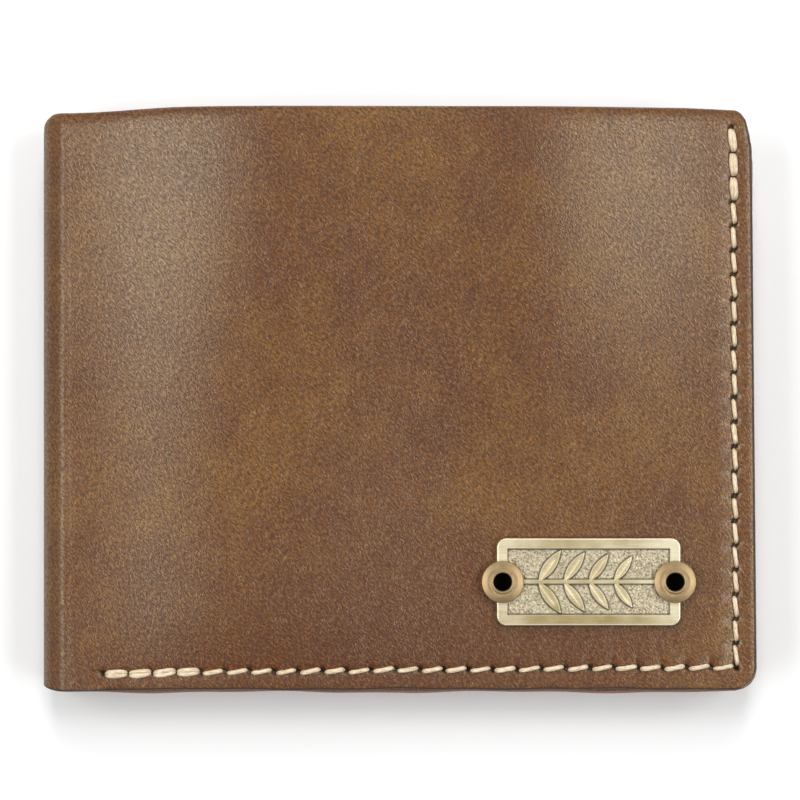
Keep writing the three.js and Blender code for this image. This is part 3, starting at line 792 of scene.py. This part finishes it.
def strand_faces():
    """The faces round a strand, and those that close its two ends."""
    rings = np.arange(STRAND_RINGS * STRAND_SIDES).reshape(STRAND_RINGS, STRAND_SIDES)
    first, last = rings[0], rings[-1]
    tip = np.full(STRAND_SIDES, rings.size)
    foot = np.stack([first, np.roll(first, -1), tip], axis=1)
    head = np.stack([np.roll(last, -1), last, tip + 1], axis=1)
    return skin(rings), np.concatenate([foot, head])


def seam_stitches(holes, doubled, surface, up, slant):
    """Stitches from hole to hole, with two strands at the doubled ones.

    surface(x, y) is a place on the leather, and slant is how far each end is from the line of holes.
    """
    made = []
    for i, (a, b) in enumerate(zip(holes, holes[1:])):
        direction = (b - a) / np.linalg.norm(b - a)
        normal = np.array([-direction[1], direction[0]])
        jitter = random.normal(0, 0.04, 4)
        twice = i in doubled
        offsets = (-THREAD_PAIR, THREAD_PAIR) if twice else (0,)
        aside = slant * (0.45 if twice else 1)
        inset = STITCH_INSET * (0.75 if twice else 1)
        height = THREAD_HEIGHT * (1.25 if twice else 1)
        start = a + direction * (inset + jitter[0]) - normal * (aside + jitter[1])
        end = b - direction * (inset + jitter[2]) + normal * (aside + jitter[3])
        for offset in offsets:
            ends = [surface(*(point + normal * offset * 0.6)) for point in (start, end)]
            width = THREAD_WIDTH + random.normal(0, 0.02)
            made.append(strand(*ends, up, width, height, bow=offset * 0.5 * up[2]))
    return made


def thread_piece(name, strands, thread, nodes, body):
    """One piece from many strands, each with its own part of the fibres' pattern."""
    points = np.concatenate([place for place, _ in strands])
    rest = np.concatenate([rest + (7.3 * i, 0, 0) for i, (_, rest) in enumerate(strands)])
    starts = np.arange(0, len(points), len(strands[0][0]))
    quads, caps = (np.concatenate([faces + start for start in starts]) for faces in strand_faces())
    piece = make_object(name, points, quads, caps, {"rest": rest}, sharp=80)
    finish_piece(piece, thread, nodes, body)


def inner_depth(y):
    """Depth of a cover leaf's innermost layer at its sewn side edge."""
    for top, face in zip((*SLOT_TOPS[::-1], INTERIOR_TOP), (*SLOT_FACES[::-1], DIVIDER_FACE)):
        if y < top:
            return face
    return COVER + HEM


UP = np.array([0, 0, 1.0])


def cover_thread(thread, side, leaf):
    """A cover leaf's stitches, outside and inside, and those that hold its slots next to the spine."""

    def outside(x, y):
        return cover_place(side)(x + FLAT_OFFSET, y, 0.0)

    def inside(x, y):
        return *proud(x, y), turned(side, THICK - inner_depth(y))

    parts = []
    for surface, up, slant in ((outside, UP * side, OUTER_SLANT), (inside, -UP * side, INNER_SLANT)):
        parts += seam_stitches(BOTTOM_HOLES, range(DOUBLED_BOTTOM), surface, up, slant[0])
        parts += seam_stitches(SIDE_HOLES[::-1], range(DOUBLED_SIDE), surface, up, slant[1])
    thread_piece(f"{leaf}_stitching", parts, thread, [f"{leaf}_edge_thread"], f"{leaf}_leaf")
    parts = seam_stitches(SLOT_SEAM, (0, len(SLOT_SEAM) - 2), inside, -UP * side, INNER_SLANT[1])
    thread_piece(f"{leaf}_slot_stitching", parts, thread, [f"{leaf}_slot_thread"], f"{leaf}_leaf")


def centre_thread(thread):
    """The centre leaf's stitches, on the side of the window and on that of the slots."""

    def window_side(x, y):
        return x, y, frame_high[2]

    def slot_side(x, y):
        for top, box in zip(LEAF_SLOT_TOPS[::-1], leaf_slot_boxes[::-1]):
            if y < top:
                return x, y, box[0][2]
        return x, y, core_low[2]

    parts = []
    for surface, up in ((window_side, UP), (slot_side, -UP)):
        parts += seam_stitches(LEAF_BOTTOM_HOLES, (0,), surface, up, INNER_SLANT[0])
        parts += seam_stitches(LEAF_SIDE_HOLES, (len(LEAF_SIDE_HOLES) - 2,), surface, up, INNER_SLANT[1])
    thread_piece("centre_stitching", parts, thread, ["centre_edge_thread"], "centre_leaf")


def root_thread(thread):
    """Two rows of stitches through the strip that the centre leaf hangs on."""
    face = ROOT_X + ROOT_THICK
    parts = []
    for height in (HINGE_Z - ROOT_SEAM, HINGE_Z + ROOT_SEAM):
        ends = evenly(LEAF_BOTTOM + 3, LEAF_TOP - 3, 20)
        for low, high in zip(ends, ends[1:]):
            start, end = (face, low + 0.3, height), (face, high - 0.3, height)
            parts.append(strand(start, end, (1, 0, 0), *ROOT_THREAD, bury=0.5))
    thread_piece("root_stitching", parts, thread, (), "spine")


def build_thread(thread):
    cover_thread(thread, 1, "front")
    cover_thread(thread, -1, "back")
    centre_thread(thread)
    root_thread(thread)


# ---- Brass ----
PLATE_RIM = 1.8
PLATE_RECESS = 0.45
PLATE_CORNER = 1.6
SPRIG_PAIRS = 4
SPRIG_PITCH = 4
SPRIG_TILT = 0.95
SPRIG_LENGTH = 6.3
SPRIG_WIDTH = 1.9
SPRIG_TAPER = 0.06
STEM = 0.7
WALL = 0.28  # how far the darkening round the raised parts spreads: patina, and painted shade at their feet
LIP = 0.16  # radius of the round of an eyelet's rim


def leaf_inset(u, v, length, width):
    """How far inside a leaf's outline a point is, u along the leaf from its foot and v across it."""
    share = np.clip(u / length, 0, 1)
    share = share / (0.9 + 0.1 * share)
    half = 2 * share * (1 - share) * width
    return np.where((u > 0) & (u < length), half - np.abs(v), -1.0)


def sprig_height(x, y):
    """The raised sprig: 1 on it and 0 off it, with a groove along each leaf's rib."""
    raised = ramp(STEM / 2 - np.abs(y), -0.09, 0.09)
    groove = np.zeros(x.shape)
    for i in range(SPRIG_PAIRS):
        foot = (i - SPRIG_PAIRS / 2) * SPRIG_PITCH
        share = 1 - i * SPRIG_TAPER
        for tilt in (SPRIG_TILT, -SPRIG_TILT):
            u, v = rotated(x - foot, y, tilt)
            inset = leaf_inset(u, v, SPRIG_LENGTH * share, SPRIG_WIDTH * share)
            raised = np.maximum(raised, ramp(inset, -0.07, 0.12))
            groove = np.maximum(groove, bell(v, 0.1) * ramp(inset, 0, 0.3) * (1 - ramp(u, 3.6, 5.4)))
    return raised, groove


def plate_field(x, y):
    """Raised part and relief of the plate, at a place measured from its middle."""
    inset_x = PLATE_WIDTH / 2 - np.abs(x)
    inset_y = PLATE_HEIGHT / 2 - np.abs(y)
    border = 1 - ramp(np.minimum(inset_x, inset_y), PLATE_RIM - 0.1, PLATE_RIM + 0.12)
    sprig, groove = sprig_height(x, y)
    raised = np.maximum(border, sprig)
    relief = -PLATE_RECESS * (1 - raised) - 0.12 * groove
    return raised, relief


def stipple(x, y):
    """Small pits punched over the recess, on a wandering grid."""
    a = np.sin(6.1 * x + 1.9 * np.sin(2.3 * y)) * np.sin(6.7 * y + 1.7 * np.sin(2.9 * x))
    b = np.sin(9.7 * x - 5.1 * y + 1.3) * np.sin(8.3 * y + 4.3 * x)
    return 0.022 * a + 0.016 * b


def plate_paint(x, y, share):
    """Where the plate is raised, how near its walls are, where its rim is rubbed and carries a painted
    highlight, and how bright its painted reflection is.
    """
    x, y = x - PLATE_X, y - PLATE_Y
    raised, _ = plate_field(x, y)
    around = np.zeros(x.shape)
    for turn in np.linspace(0, 2 * math.pi, 8, endpoint=False):
        around += plate_field(x + WALL * math.cos(turn), y + WALL * math.sin(turn))[0] / 8
    outer = np.minimum(PLATE_WIDTH / 2 - np.abs(x), PLATE_HEIGHT / 2 - np.abs(y))
    # rims rubbed bright, which also stands for a painted highlight on their bevels
    rim = np.maximum(raised * (1 - around), 1 - ramp(outer, 0.2, 0.45))
    # painted reflection: brighter towards the sides and the right, darker at the bottom
    polish = 0.3 + 0.6 * ramp(np.abs(x), 6, PLATE_WIDTH / 2)
    polish = polish + 0.25 * ramp(x, -9, 14) - 0.35 * ramp(-y, 3, 6.5)
    top = share == 0
    return {"raised": np.where(top, raised, 1), "wall": around * top, "rim": rim * top, "polish": polish}


def plate_relief(x, y):
    raised, height = plate_field(x - PLATE_X, y - PLATE_Y)
    return height + stipple(x, y) * (1 - raised)


def build_plate(brass):
    xs, ys = (stations(plate_low[i], plate_high[i], 0.11) for i in (0, 1))
    shape = {"corners": (PLATE_CORNER,) * 4, "relief": plate_relief, "paint": plate_paint}
    piece = panel("emblem_brass_plate", xs, ys, level(PLATE_TOP), PLATE_THICK, (0.25,) * 4, **shape)
    drill(piece, THICK - 1, PLATE_TOP + 1)
    finish_piece(piece, brass, ["emblem_plate"], "front_leaf")


def lathe(name, section, x, y, dark=None, sides=64):
    """A ring from its section, a closed list of (radius, height). dark(radius, height) is its painted
    shade.
    """
    radius, height = np.array(section).T
    turn = np.linspace(0, 2 * math.pi, sides, endpoint=False)
    rest = np.stack(
        [np.outer(np.cos(turn), radius), np.outer(np.sin(turn), radius), np.tile(height, (sides, 1))],
        axis=-1,
    ).reshape(-1, 3)
    index = np.arange(len(rest)).reshape(sides, -1)
    # painted shade, deep in the bore
    bore = np.tile(dark(radius, height), sides) if dark else np.zeros(len(rest))
    attributes = {"rest": rest, "bore": bore}
    return make_object(name, rest + (x, y, 0), skin(index, closed=True), attributes=attributes, sharp=50)


def arc(x, z, radius, start, end, count=6):
    """Points on a part of a circle, between two angles in degrees."""
    turns = np.radians(np.linspace(start, end, count))
    return [(x + radius * math.cos(turn), z + radius * math.sin(turn)) for turn in turns]


def eyelet_section(foot):
    """An eyelet from its foot up its barrel, over its flange, down its bore and out to its rolled end."""
    bore, crest, roll = EYELET_BORE, EYELET_TOP, EYELET_FOOT
    seat = PLATE_TOP + 0.02
    section = [(EYELET_BARREL, foot), (EYELET_BARREL, seat), (EYELET_FLANGE - 0.45, seat)]
    section += arc(EYELET_FLANGE - LIP, seat + 0.42, LIP, -40, 75)
    section += [(2.5, crest - 0.2), (2.1, crest - 0.12), (2.0, crest - 0.17), (1.93, crest - 0.15)]
    section += arc(bore + 0.22, crest - 0.22, 0.22, 60, 180, 7)
    section += [(bore, crest - 0.7), (bore, crest - 1.2), (bore, roll + 0.35)]
    section += arc(bore + 0.35, roll + 0.3, 0.3, 180, 270, 5)
    section += arc(EYELET_FLANGE - 0.75, roll + 0.22, 0.22, -90, 90, 6)
    return section


def bore_shade(radius, height):
    """The painted shade in an eyelet's bore: 1 deep in it and 0 on its flange."""
    return (radius < EYELET_BORE + 0.1) * ramp(EYELET_TOP - height, 0.55, 1.1)


def build_eyelets(brass):
    section = eyelet_section(washer_boxes[0][0][2])
    for side, x, (washer_low, washer_high) in zip(("left", "right"), EYELET_X, washer_boxes):
        ring = lathe(f"eyelet_{side}", section, x, PLATE_Y, bore_shade)
        finish_piece(ring, brass, [f"emblem_eyelet_{side}"], "front_leaf")
        low, high = washer_low[2], washer_high[2]
        edge = (high - low) / 2
        rim = arc(WASHER_RADIUS - edge, high - edge, edge, 90, -90)
        disc = lathe(f"washer_{side}", [(WASHER_BORE, low), (WASHER_BORE, high), *rim], x, PLATE_Y)
        finish_piece(disc, brass, [f"emblem_washer_{side}"], "front_leaf")


# ---- Materials ----
class Nodes:
    """A short way to write a material's nodes."""

    def __init__(self, name):
        self.material = bpy.data.materials.new(name)
        self.material.use_nodes = True
        self.tree = self.material.node_tree
        self.shader = self.tree.nodes["Principled BSDF"]

    def add(self, kind, inputs=None, **settings):
        node = self.tree.nodes.new("ShaderNode" + kind)
        for key, value in settings.items():
            setattr(node, key, value)
        for key, value in (inputs or {}).items():
            self.put(node.inputs[key], value)
        return node

    def put(self, socket, value):
        if isinstance(value, bpy.types.NodeSocket):
            self.tree.links.new(value, socket)
        else:
            socket.default_value = value

    def attribute(self, name, output="Fac"):
        return self.add("Attribute", attribute_name=name).outputs[output]

    def math(self, operation, a, b=0.0):
        return self.add("Math", {0: a, 1: b}, operation=operation).outputs[0]

    def plus(self, a, b):
        return self.math("ADD", a, b)

    def times(self, a, b):
        return self.math("MULTIPLY", a, b)

    def vector(self, operation, a, b):
        return self.add("VectorMath", {0: a, 1: b}, operation=operation).outputs[0]

    def mapped(self, vector, size, turn=0.0, place=(0, 0, 0)):
        """Coordinates in which a pattern has the given size and is turned by an angle in degrees."""
        rotation = (0, 0, math.radians(turn))
        inputs = {"Vector": vector, "Scale": size, "Location": place, "Rotation": rotation}
        return self.add("Mapping", inputs, vector_type="TEXTURE").outputs[0]

    def noise(self, vector, scale, detail=2.0, roughness=0.5, distortion=0.0, output="Fac"):
        inputs = {"Vector": vector, "Scale": scale, "Detail": detail}
        inputs.update({"Roughness": roughness, "Distortion": distortion})
        return self.add("TexNoise", inputs).outputs[output]

    def ramp(self, value, stops):
        """Goes from one colour to the next, where stops are three places and their colours."""
        node = self.add("ValToRGB", {"Fac": value})
        points = node.color_ramp.elements
        points.new(0.5)
        for point, (position, color) in zip(points, stops):
            point.position = position
            point.color = color
        return node.outputs["Color"]

    def range(self, value, low, high, to_low=0.0, to_high=1.0):
        inputs = {"Value": value, "From Min": low, "From Max": high, "To Min": to_low, "To Max": to_high}
        return self.add("MapRange", inputs).outputs[0]

    def mix(self, factor, a, b):
        node = self.add("Mix", data_type="RGBA")
        self.put(node.inputs[0], factor)
        self.put(node.inputs[6], a)
        self.put(node.inputs[7], b)
        return node.outputs[2]

    def length(self, vector):
        return self.add("VectorMath", {0: vector}, operation="LENGTH").outputs["Value"]

    def scaled(self, color, factor):
        return self.add("VectorMath", {0: color, "Scale": factor}, operation="SCALE").outputs[0]

    def bump(self, height, distance, strength=1.0):
        return self.add("Bump", {"Height": height, "Distance": distance, "Strength": strength}).outputs[0]

    def finish(self, **inputs):
        for key, value in inputs.items():
            self.put(self.shader.inputs[key.replace("_", " ")], value)
        return self.material


def srgb(*color):
    """A colour from its 0 to 255 screen values."""

    def linear(share):
        return share / 12.92 if share <= 0.04045 else ((share + 0.055) / 1.055) ** 2.4

    return (*[linear(value / 255) for value in color], 1.0)


def tinted(color, red, green, blue):
    """A colour with each of its channels multiplied."""
    return (color[0] * red, color[1] * green, color[2] * blue, 1)


GRAIN_TURN = -48  # degrees; the grain's cells are long from upper left to lower right
CELL_SIZE = (0.68, 0.34, 1)
FOLD_SIZE = (0.66, 0.29, 1)
BUMP = 0.00003  # metres
WORN_AND_SHADED = ((42, 20, 1), 0, (FLAT_OFFSET + 2, -36, 0))  # size, turn and place of a broad darker patch: wear from hands, and painted shade


def leather_grain(n, flat, bent):
    """The grain: flat cells with valleys between them, folds across them, and fine pores."""
    jagged = n.vector("MULTIPLY", n.noise(flat, 2.4, 2, output="Color"), (0.55, 0.55, 0))
    lay = n.mapped(n.vector("ADD", bent, jagged), CELL_SIZE, GRAIN_TURN)
    cells = n.add("TexVoronoi", {"Vector": lay, "Scale": 1.0}, feature="DISTANCE_TO_EDGE")
    pebble = n.range(cells.outputs["Distance"], 0.0, 0.3)
    folds = n.noise(n.mapped(bent, FOLD_SIZE, GRAIN_TURN), 1.0, 3, 0.6)
    fine = n.noise(flat, 4.0, 3, 0.6)
    return pebble, folds, fine


def leather_color(n, flat, bent, wander, grain, patch, tones):
    """Cloudy colour, with painted shade in the grain's valleys, a patch darkened by wear and painted shade,
    a painted sheen on the crests, and lighter scuffs.
    """
    pebble, folds, fine = grain
    dark, base, tan, crest = tones
    cloud = n.noise(flat, 0.035, 3, 0.5)
    tone = n.plus(n.times(cloud, 0.5), n.times(patch, 0.5))
    color = n.ramp(tone, zip((0.4, 0.5, 0.61), (dark, base, tan)))
    spread = n.vector("ADD", flat, n.vector("MULTIPLY", wander, (6, 6, 0)))
    # a broad patch low on the front, darkened for wear and as painted shade where the cover turns from the
    # light
    worn_and_shaded = n.range(n.length(n.mapped(spread, *WORN_AND_SHADED)), 0.2, 1.3, 0.9, 0)
    color = n.mix(worn_and_shaded, color, tinted(dark, 0.78, 0.45, 0.3))
    # painted shade in the grain's valleys
    valley = n.times(n.range(pebble, 0.0, 0.6, 0.6, 1.0), n.range(folds, 0.36, 0.54, 0.05, 1.0))
    color = n.mix(valley, tinted(dark, 0.5, 0.36, 0.3), color)
    color = n.scaled(color, n.range(fine, 0.3, 0.7, 0.85, 1.15))
    # painted sheen on the grain's crests, mixed towards a light tan
    color = n.mix(n.range(folds, 0.48, 0.64, 0, 0.45), color, crest)
    specks = n.noise(n.mapped(flat, (1, 1, 1), 20, (5, 9, 0)), 1.7, 2, 0.7)
    color = n.mix(n.range(specks, 0.72, 0.79, 0, 0.45), color, srgb(196, 156, 112))
    scratches = n.noise(n.mapped(bent, (7, 0.16, 1), 24, (3, 17, 0)), 1.0, 2, 0.5)
    scuffed = n.times(n.range(scratches, 0.68, 0.76, 0, 0.4), n.range(patch, 0.48, 0.6))
    return n.mix(scuffed, color, srgb(186, 132, 90))


def leather_material(name, tones, grain=1.0, roughness=0.27, raw=(24, 12, 13), edge_roughness=0.25):
    """Oiled leather with slanting grain, stitch holes, a rough inside and burnished raw edges.

    tones are its dark, middle and tan colours and that of the grain's crests. grain is how deep the grain
    is, and raw the screen colour of a raw edge.
    """
    n = Nodes(name)
    flat = n.vector("MULTIPLY", n.attribute("rest", "Vector"), (1, 1, 0))
    wander = n.noise(flat, 0.3, 2, output="Color")
    bent = n.vector("ADD", flat, n.vector("MULTIPLY", wander, (1.5, 1.5, 0)))
    patch = n.noise(n.mapped(flat, (1, 1, 1), 35, (31, 7, 0)), 0.15, 5, 0.65, 0.4)
    pebble, folds, fine = leather_grain(n, flat, bent)
    color = leather_color(n, flat, bent, wander, (pebble, folds, fine), patch, tones)

    inside = n.attribute("inside")
    bend = n.attribute("bend")
    is_flesh = n.math("GREATER_THAN", inside, 0.995)
    flesh = n.mix(n.noise(flat, 2.2, 4, 0.7), srgb(92, 62, 42), srgb(134, 97, 68))
    color = n.mix(is_flesh, color, flesh)
    # painted shade where the leather turns round the spine and over its top edge
    color = n.scaled(color, n.range(bend, 0, 1, 1, 0.92))
    edge = n.plus(n.attribute("edge"), n.range(patch, 0.3, 0.7, -0.1, 0.1))
    near_edge = n.times(n.range(edge, 0.55, 0.25), n.range(inside, 0.9, 1.0, 1, 0))
    burnished = n.mix(n.noise(flat, 1.6, 3), srgb(*raw), srgb(raw[0] + 26, raw[1] + 12, raw[2] + 10))
    color = n.mix(n.times(near_edge, 0.9), color, burnished)
    # painted shade in the stitch holes and in the spots under the eyelets
    color = n.mix(n.range(n.attribute("pit"), 0.1, 0.4), color, srgb(18, 10, 7))

    shut = n.plus(n.range(pebble, 0.0, 0.7, 0.09, 0), n.range(folds, 0.35, 0.6, 0.12, -0.03))
    rough = n.plus(shut, roughness)
    for part, more in ((is_flesh, 0.3), (bend, 0.15), (near_edge, edge_roughness)):
        rough = n.plus(rough, n.times(part, more))
    height = n.plus(n.plus(n.times(pebble, 0.55), n.times(folds, 0.9)), n.times(fine, 0.3))
    strength = n.times(n.range(near_edge, 0, 1, 1, 0.25), n.range(bend, 0, 1, 1, 0.4))
    normal = n.bump(height, BUMP * grain, strength)
    shine = {"Specular_IOR_Level": 0.85, "Specular_Tint": (1.0, 1.0, 0.8, 1.0)}
    return n.finish(Base_Color=color, Roughness=rough, Normal=normal, **shine)


def thread_material():
    n = Nodes("waxed_thread")
    rest = n.attribute("rest", "Vector")
    fibre = n.noise(n.mapped(rest, (0.9, 0.12, 0.12)), 1.0, 3, 0.6)
    dirt = n.noise(rest, 0.8, 3)
    tones = (srgb(164, 138, 104), srgb(222, 203, 172), srgb(242, 229, 204))
    color = n.ramp(fibre, zip((0.32, 0.5, 0.7), tones))
    color = n.mix(n.range(dirt, 0.5, 0.75, 0, 0.3), color, srgb(190, 160, 122))
    return n.finish(Base_Color=color, Roughness=0.65, Normal=n.bump(fibre, 0.0001))


def brass_material():
    """Antiqued brass: brushed and bright where raised, with a painted reflection and highlight; dark and
    stippled in the recess, with patina and painted shade at its walls.
    """
    n = Nodes("antique_brass")
    rest = n.attribute("rest", "Vector")
    raised = n.attribute("raised")
    brushed = n.noise(n.mapped(rest, (6, 0.14, 1), 0), 1.0, 4, 0.7)
    cloud = n.noise(rest, 0.35, 3)
    # painted reflection, lighter towards the plate's sides
    polish = n.plus(n.attribute("polish"), n.range(cloud, 0.3, 0.7, -0.2, 0.2))
    bright = n.mix(n.range(polish, 0, 1), srgb(172, 152, 104), srgb(236, 224, 190))
    bright = n.scaled(bright, n.range(brushed, 0.3, 0.7, 0.8, 1.15))
    # rubbed rims lightened, partly as a painted highlight
    bright = n.mix(n.range(n.attribute("rim"), 0.15, 0.6, 0, 0.7), bright, srgb(250, 242, 214))
    grit = n.noise(rest, 3.4, 3, 0.7)
    tones = (srgb(138, 126, 104), srgb(198, 185, 156), srgb(230, 219, 190))
    floor = n.ramp(grit, zip((0.36, 0.5, 0.62), tones))
    # dark at the feet of the raised parts: patina and painted shade
    outline = n.range(n.attribute("wall"), 0.02, 0.45, 0, 0.85)
    floor = n.mix(outline, floor, srgb(38, 31, 24))
    color = n.mix(n.range(raised, 0.25, 0.75), floor, bright)
    lines = n.times(brushed, n.range(raised, 0.5, 1, 0, 0.3))
    height = n.plus(lines, n.times(grit, n.range(raised, 0, 0.5, 1, 0)))
    metal = n.range(outline, 0.2, 0.9, 1, 0.3)
    rough = n.range(raised, 0, 1, 0.5, 0.3)
    return n.finish(Base_Color=color, Roughness=rough, Metallic=metal, Normal=n.bump(height, 0.00004))


def eyelet_material():
    n = Nodes("eyelet_brass")
    rest = n.attribute("rest", "Vector")
    haze = n.noise(rest, 1.1, 4, 0.6)
    scratch = n.noise(n.mapped(rest, (2.5, 0.12, 1), 24), 1.0, 3, 0.6)
    color = n.mix(haze, srgb(152, 126, 88), srgb(190, 164, 124))
    color = n.mix(n.range(scratch, 0.55, 0.75, 0, 0.4), color, srgb(208, 190, 154))
    # painted shade deep in the bore
    bore = n.attribute("bore")
    color = n.mix(bore, color, srgb(22, 17, 12))
    rough = n.range(haze, 0.3, 0.7, 0.4, 0.52)
    metal = n.range(bore, 0, 1, 0.8, 0.2)
    return n.finish(Base_Color=color, Roughness=rough, Metallic=metal, Normal=n.bump(scratch, 0.00001))


def film_material():
    n = Nodes("window_film")
    rest = n.attribute("rest", "Vector")
    scratch = n.noise(n.mapped(rest, (9, 0.2, 1), 31), 1.0, 2, 0.6)
    rough = n.range(scratch, 0.55, 0.75, 0.05, 0.3)
    color = n.mix(n.noise(rest, 0.05, 2), (0.95, 0.96, 0.96, 1), (0.88, 0.9, 0.9, 1))
    return n.finish(Base_Color=color, Roughness=rough, Transmission_Weight=1.0, IOR=1.2)


# ---- Floor, light and camera ----
VIEW_WIDTH = 127.4  # what the camera sees at the height of the front cover
CAMERA_HEIGHT = 600
SENSOR = 36
FLOOR_SIZE = 2  # metres, and so are the places and sizes of the lights
FLOOR_WHITE = 0.88
WORLD_LIGHT = 0.12
SOFTBOXES = {  # place, size and watts
    "left_softbox": ((-0.67, 0, 1.0), (1.0, 0.5), 7.8),
    "right_softbox": ((0.67, 0, 1.0), (1.0, 0.5), 7.8),
    "back_softbox": ((0, 0.7, 0.5), (1.2, 0.25), 1.3),
    "overhead_softbox": ((0, 0.65, 0.95), (0.3, 0.9), 7.0),
}


def build_camera():
    camera = new_object("camera", bpy.data.cameras.new("camera"))
    camera.location = (0.1 * MM, 0, CAMERA_HEIGHT * MM)
    camera.data.sensor_width = SENSOR
    camera.data.lens = SENSOR * (CAMERA_HEIGHT - THICK) / VIEW_WIDTH
    camera.data.clip_start = 0.01
    camera.data.clip_end = 10
    bpy.context.scene.camera = camera


def softbox(name, place, size, power):
    """A rectangular light that faces the middle of the wallet."""
    data = bpy.data.lights.new(name, "AREA")
    data.shape = "RECTANGLE"
    data.size, data.size_y = size
    data.energy = power
    light = new_object(name, data)
    light.location = place
    light.rotation_euler = (Vector() - Vector(place)).to_track_quat("-Z", "Y").to_euler()
    return light


def build_floor():
    """A white floor under the wallet, which isn't a part of it."""
    size = FLOOR_SIZE
    corners = [(-size, -size, 0), (size, -size, 0), (size, size, 0), (-size, size, 0)]
    white = (FLOOR_WHITE, FLOOR_WHITE, FLOOR_WHITE, 1)
    mesh = bpy.data.meshes.new("floor")
    mesh.from_pydata(corners, [], [(0, 1, 2, 3)])
    floor = new_object("floor", mesh)
    n = Nodes("floor_white")
    mesh.materials.append(n.finish(Base_Color=white, Roughness=0.9, Specular_IOR_Level=0.0))


def build_studio():
    scene = bpy.context.scene
    build_floor()
    scene.world = bpy.data.worlds.new("studio")
    scene.world.use_nodes = True
    background = scene.world.node_tree.nodes["Background"]
    background.inputs["Color"].default_value = (1, 1, 1, 1)
    background.inputs["Strength"].default_value = WORLD_LIGHT
    lights = {name: softbox(name, *settings) for name, settings in SOFTBOXES.items()}
    lights["overhead_softbox"].visible_glossy = False
    scene.view_settings.view_transform = "Standard"
    scene.view_settings.look = "None"


raw_edge = {"raw": (140, 100, 80), "edge_roughness": 0.2}
cover_tones = (srgb(85, 39, 13), srgb(99, 54, 13), srgb(115, 73, 21), srgb(147, 103, 54))
lining_tones = (srgb(78, 50, 30), srgb(90, 59, 35), srgb(104, 70, 42), srgb(128, 94, 62))
pocket_tones = (srgb(86, 54, 31), srgb(100, 66, 38), srgb(114, 78, 46), srgb(140, 104, 68))
cover_leather = leather_material("cover_leather", cover_tones)
lining_leather = leather_material("lining_leather", lining_tones, 0.7, 0.5, **raw_edge)
pocket_leather = leather_material("pocket_leather", pocket_tones, 0.8, 0.45, **raw_edge)
build_covers(cover_leather)
build_dividers(lining_leather)
build_leaf_slots(pocket_leather)
build_centre_leaf(lining_leather, pocket_leather, film_material())
build_thread(thread_material())
build_plate(brass_material())
build_eyelets(eyelet_material())
build_camera()
build_studio()
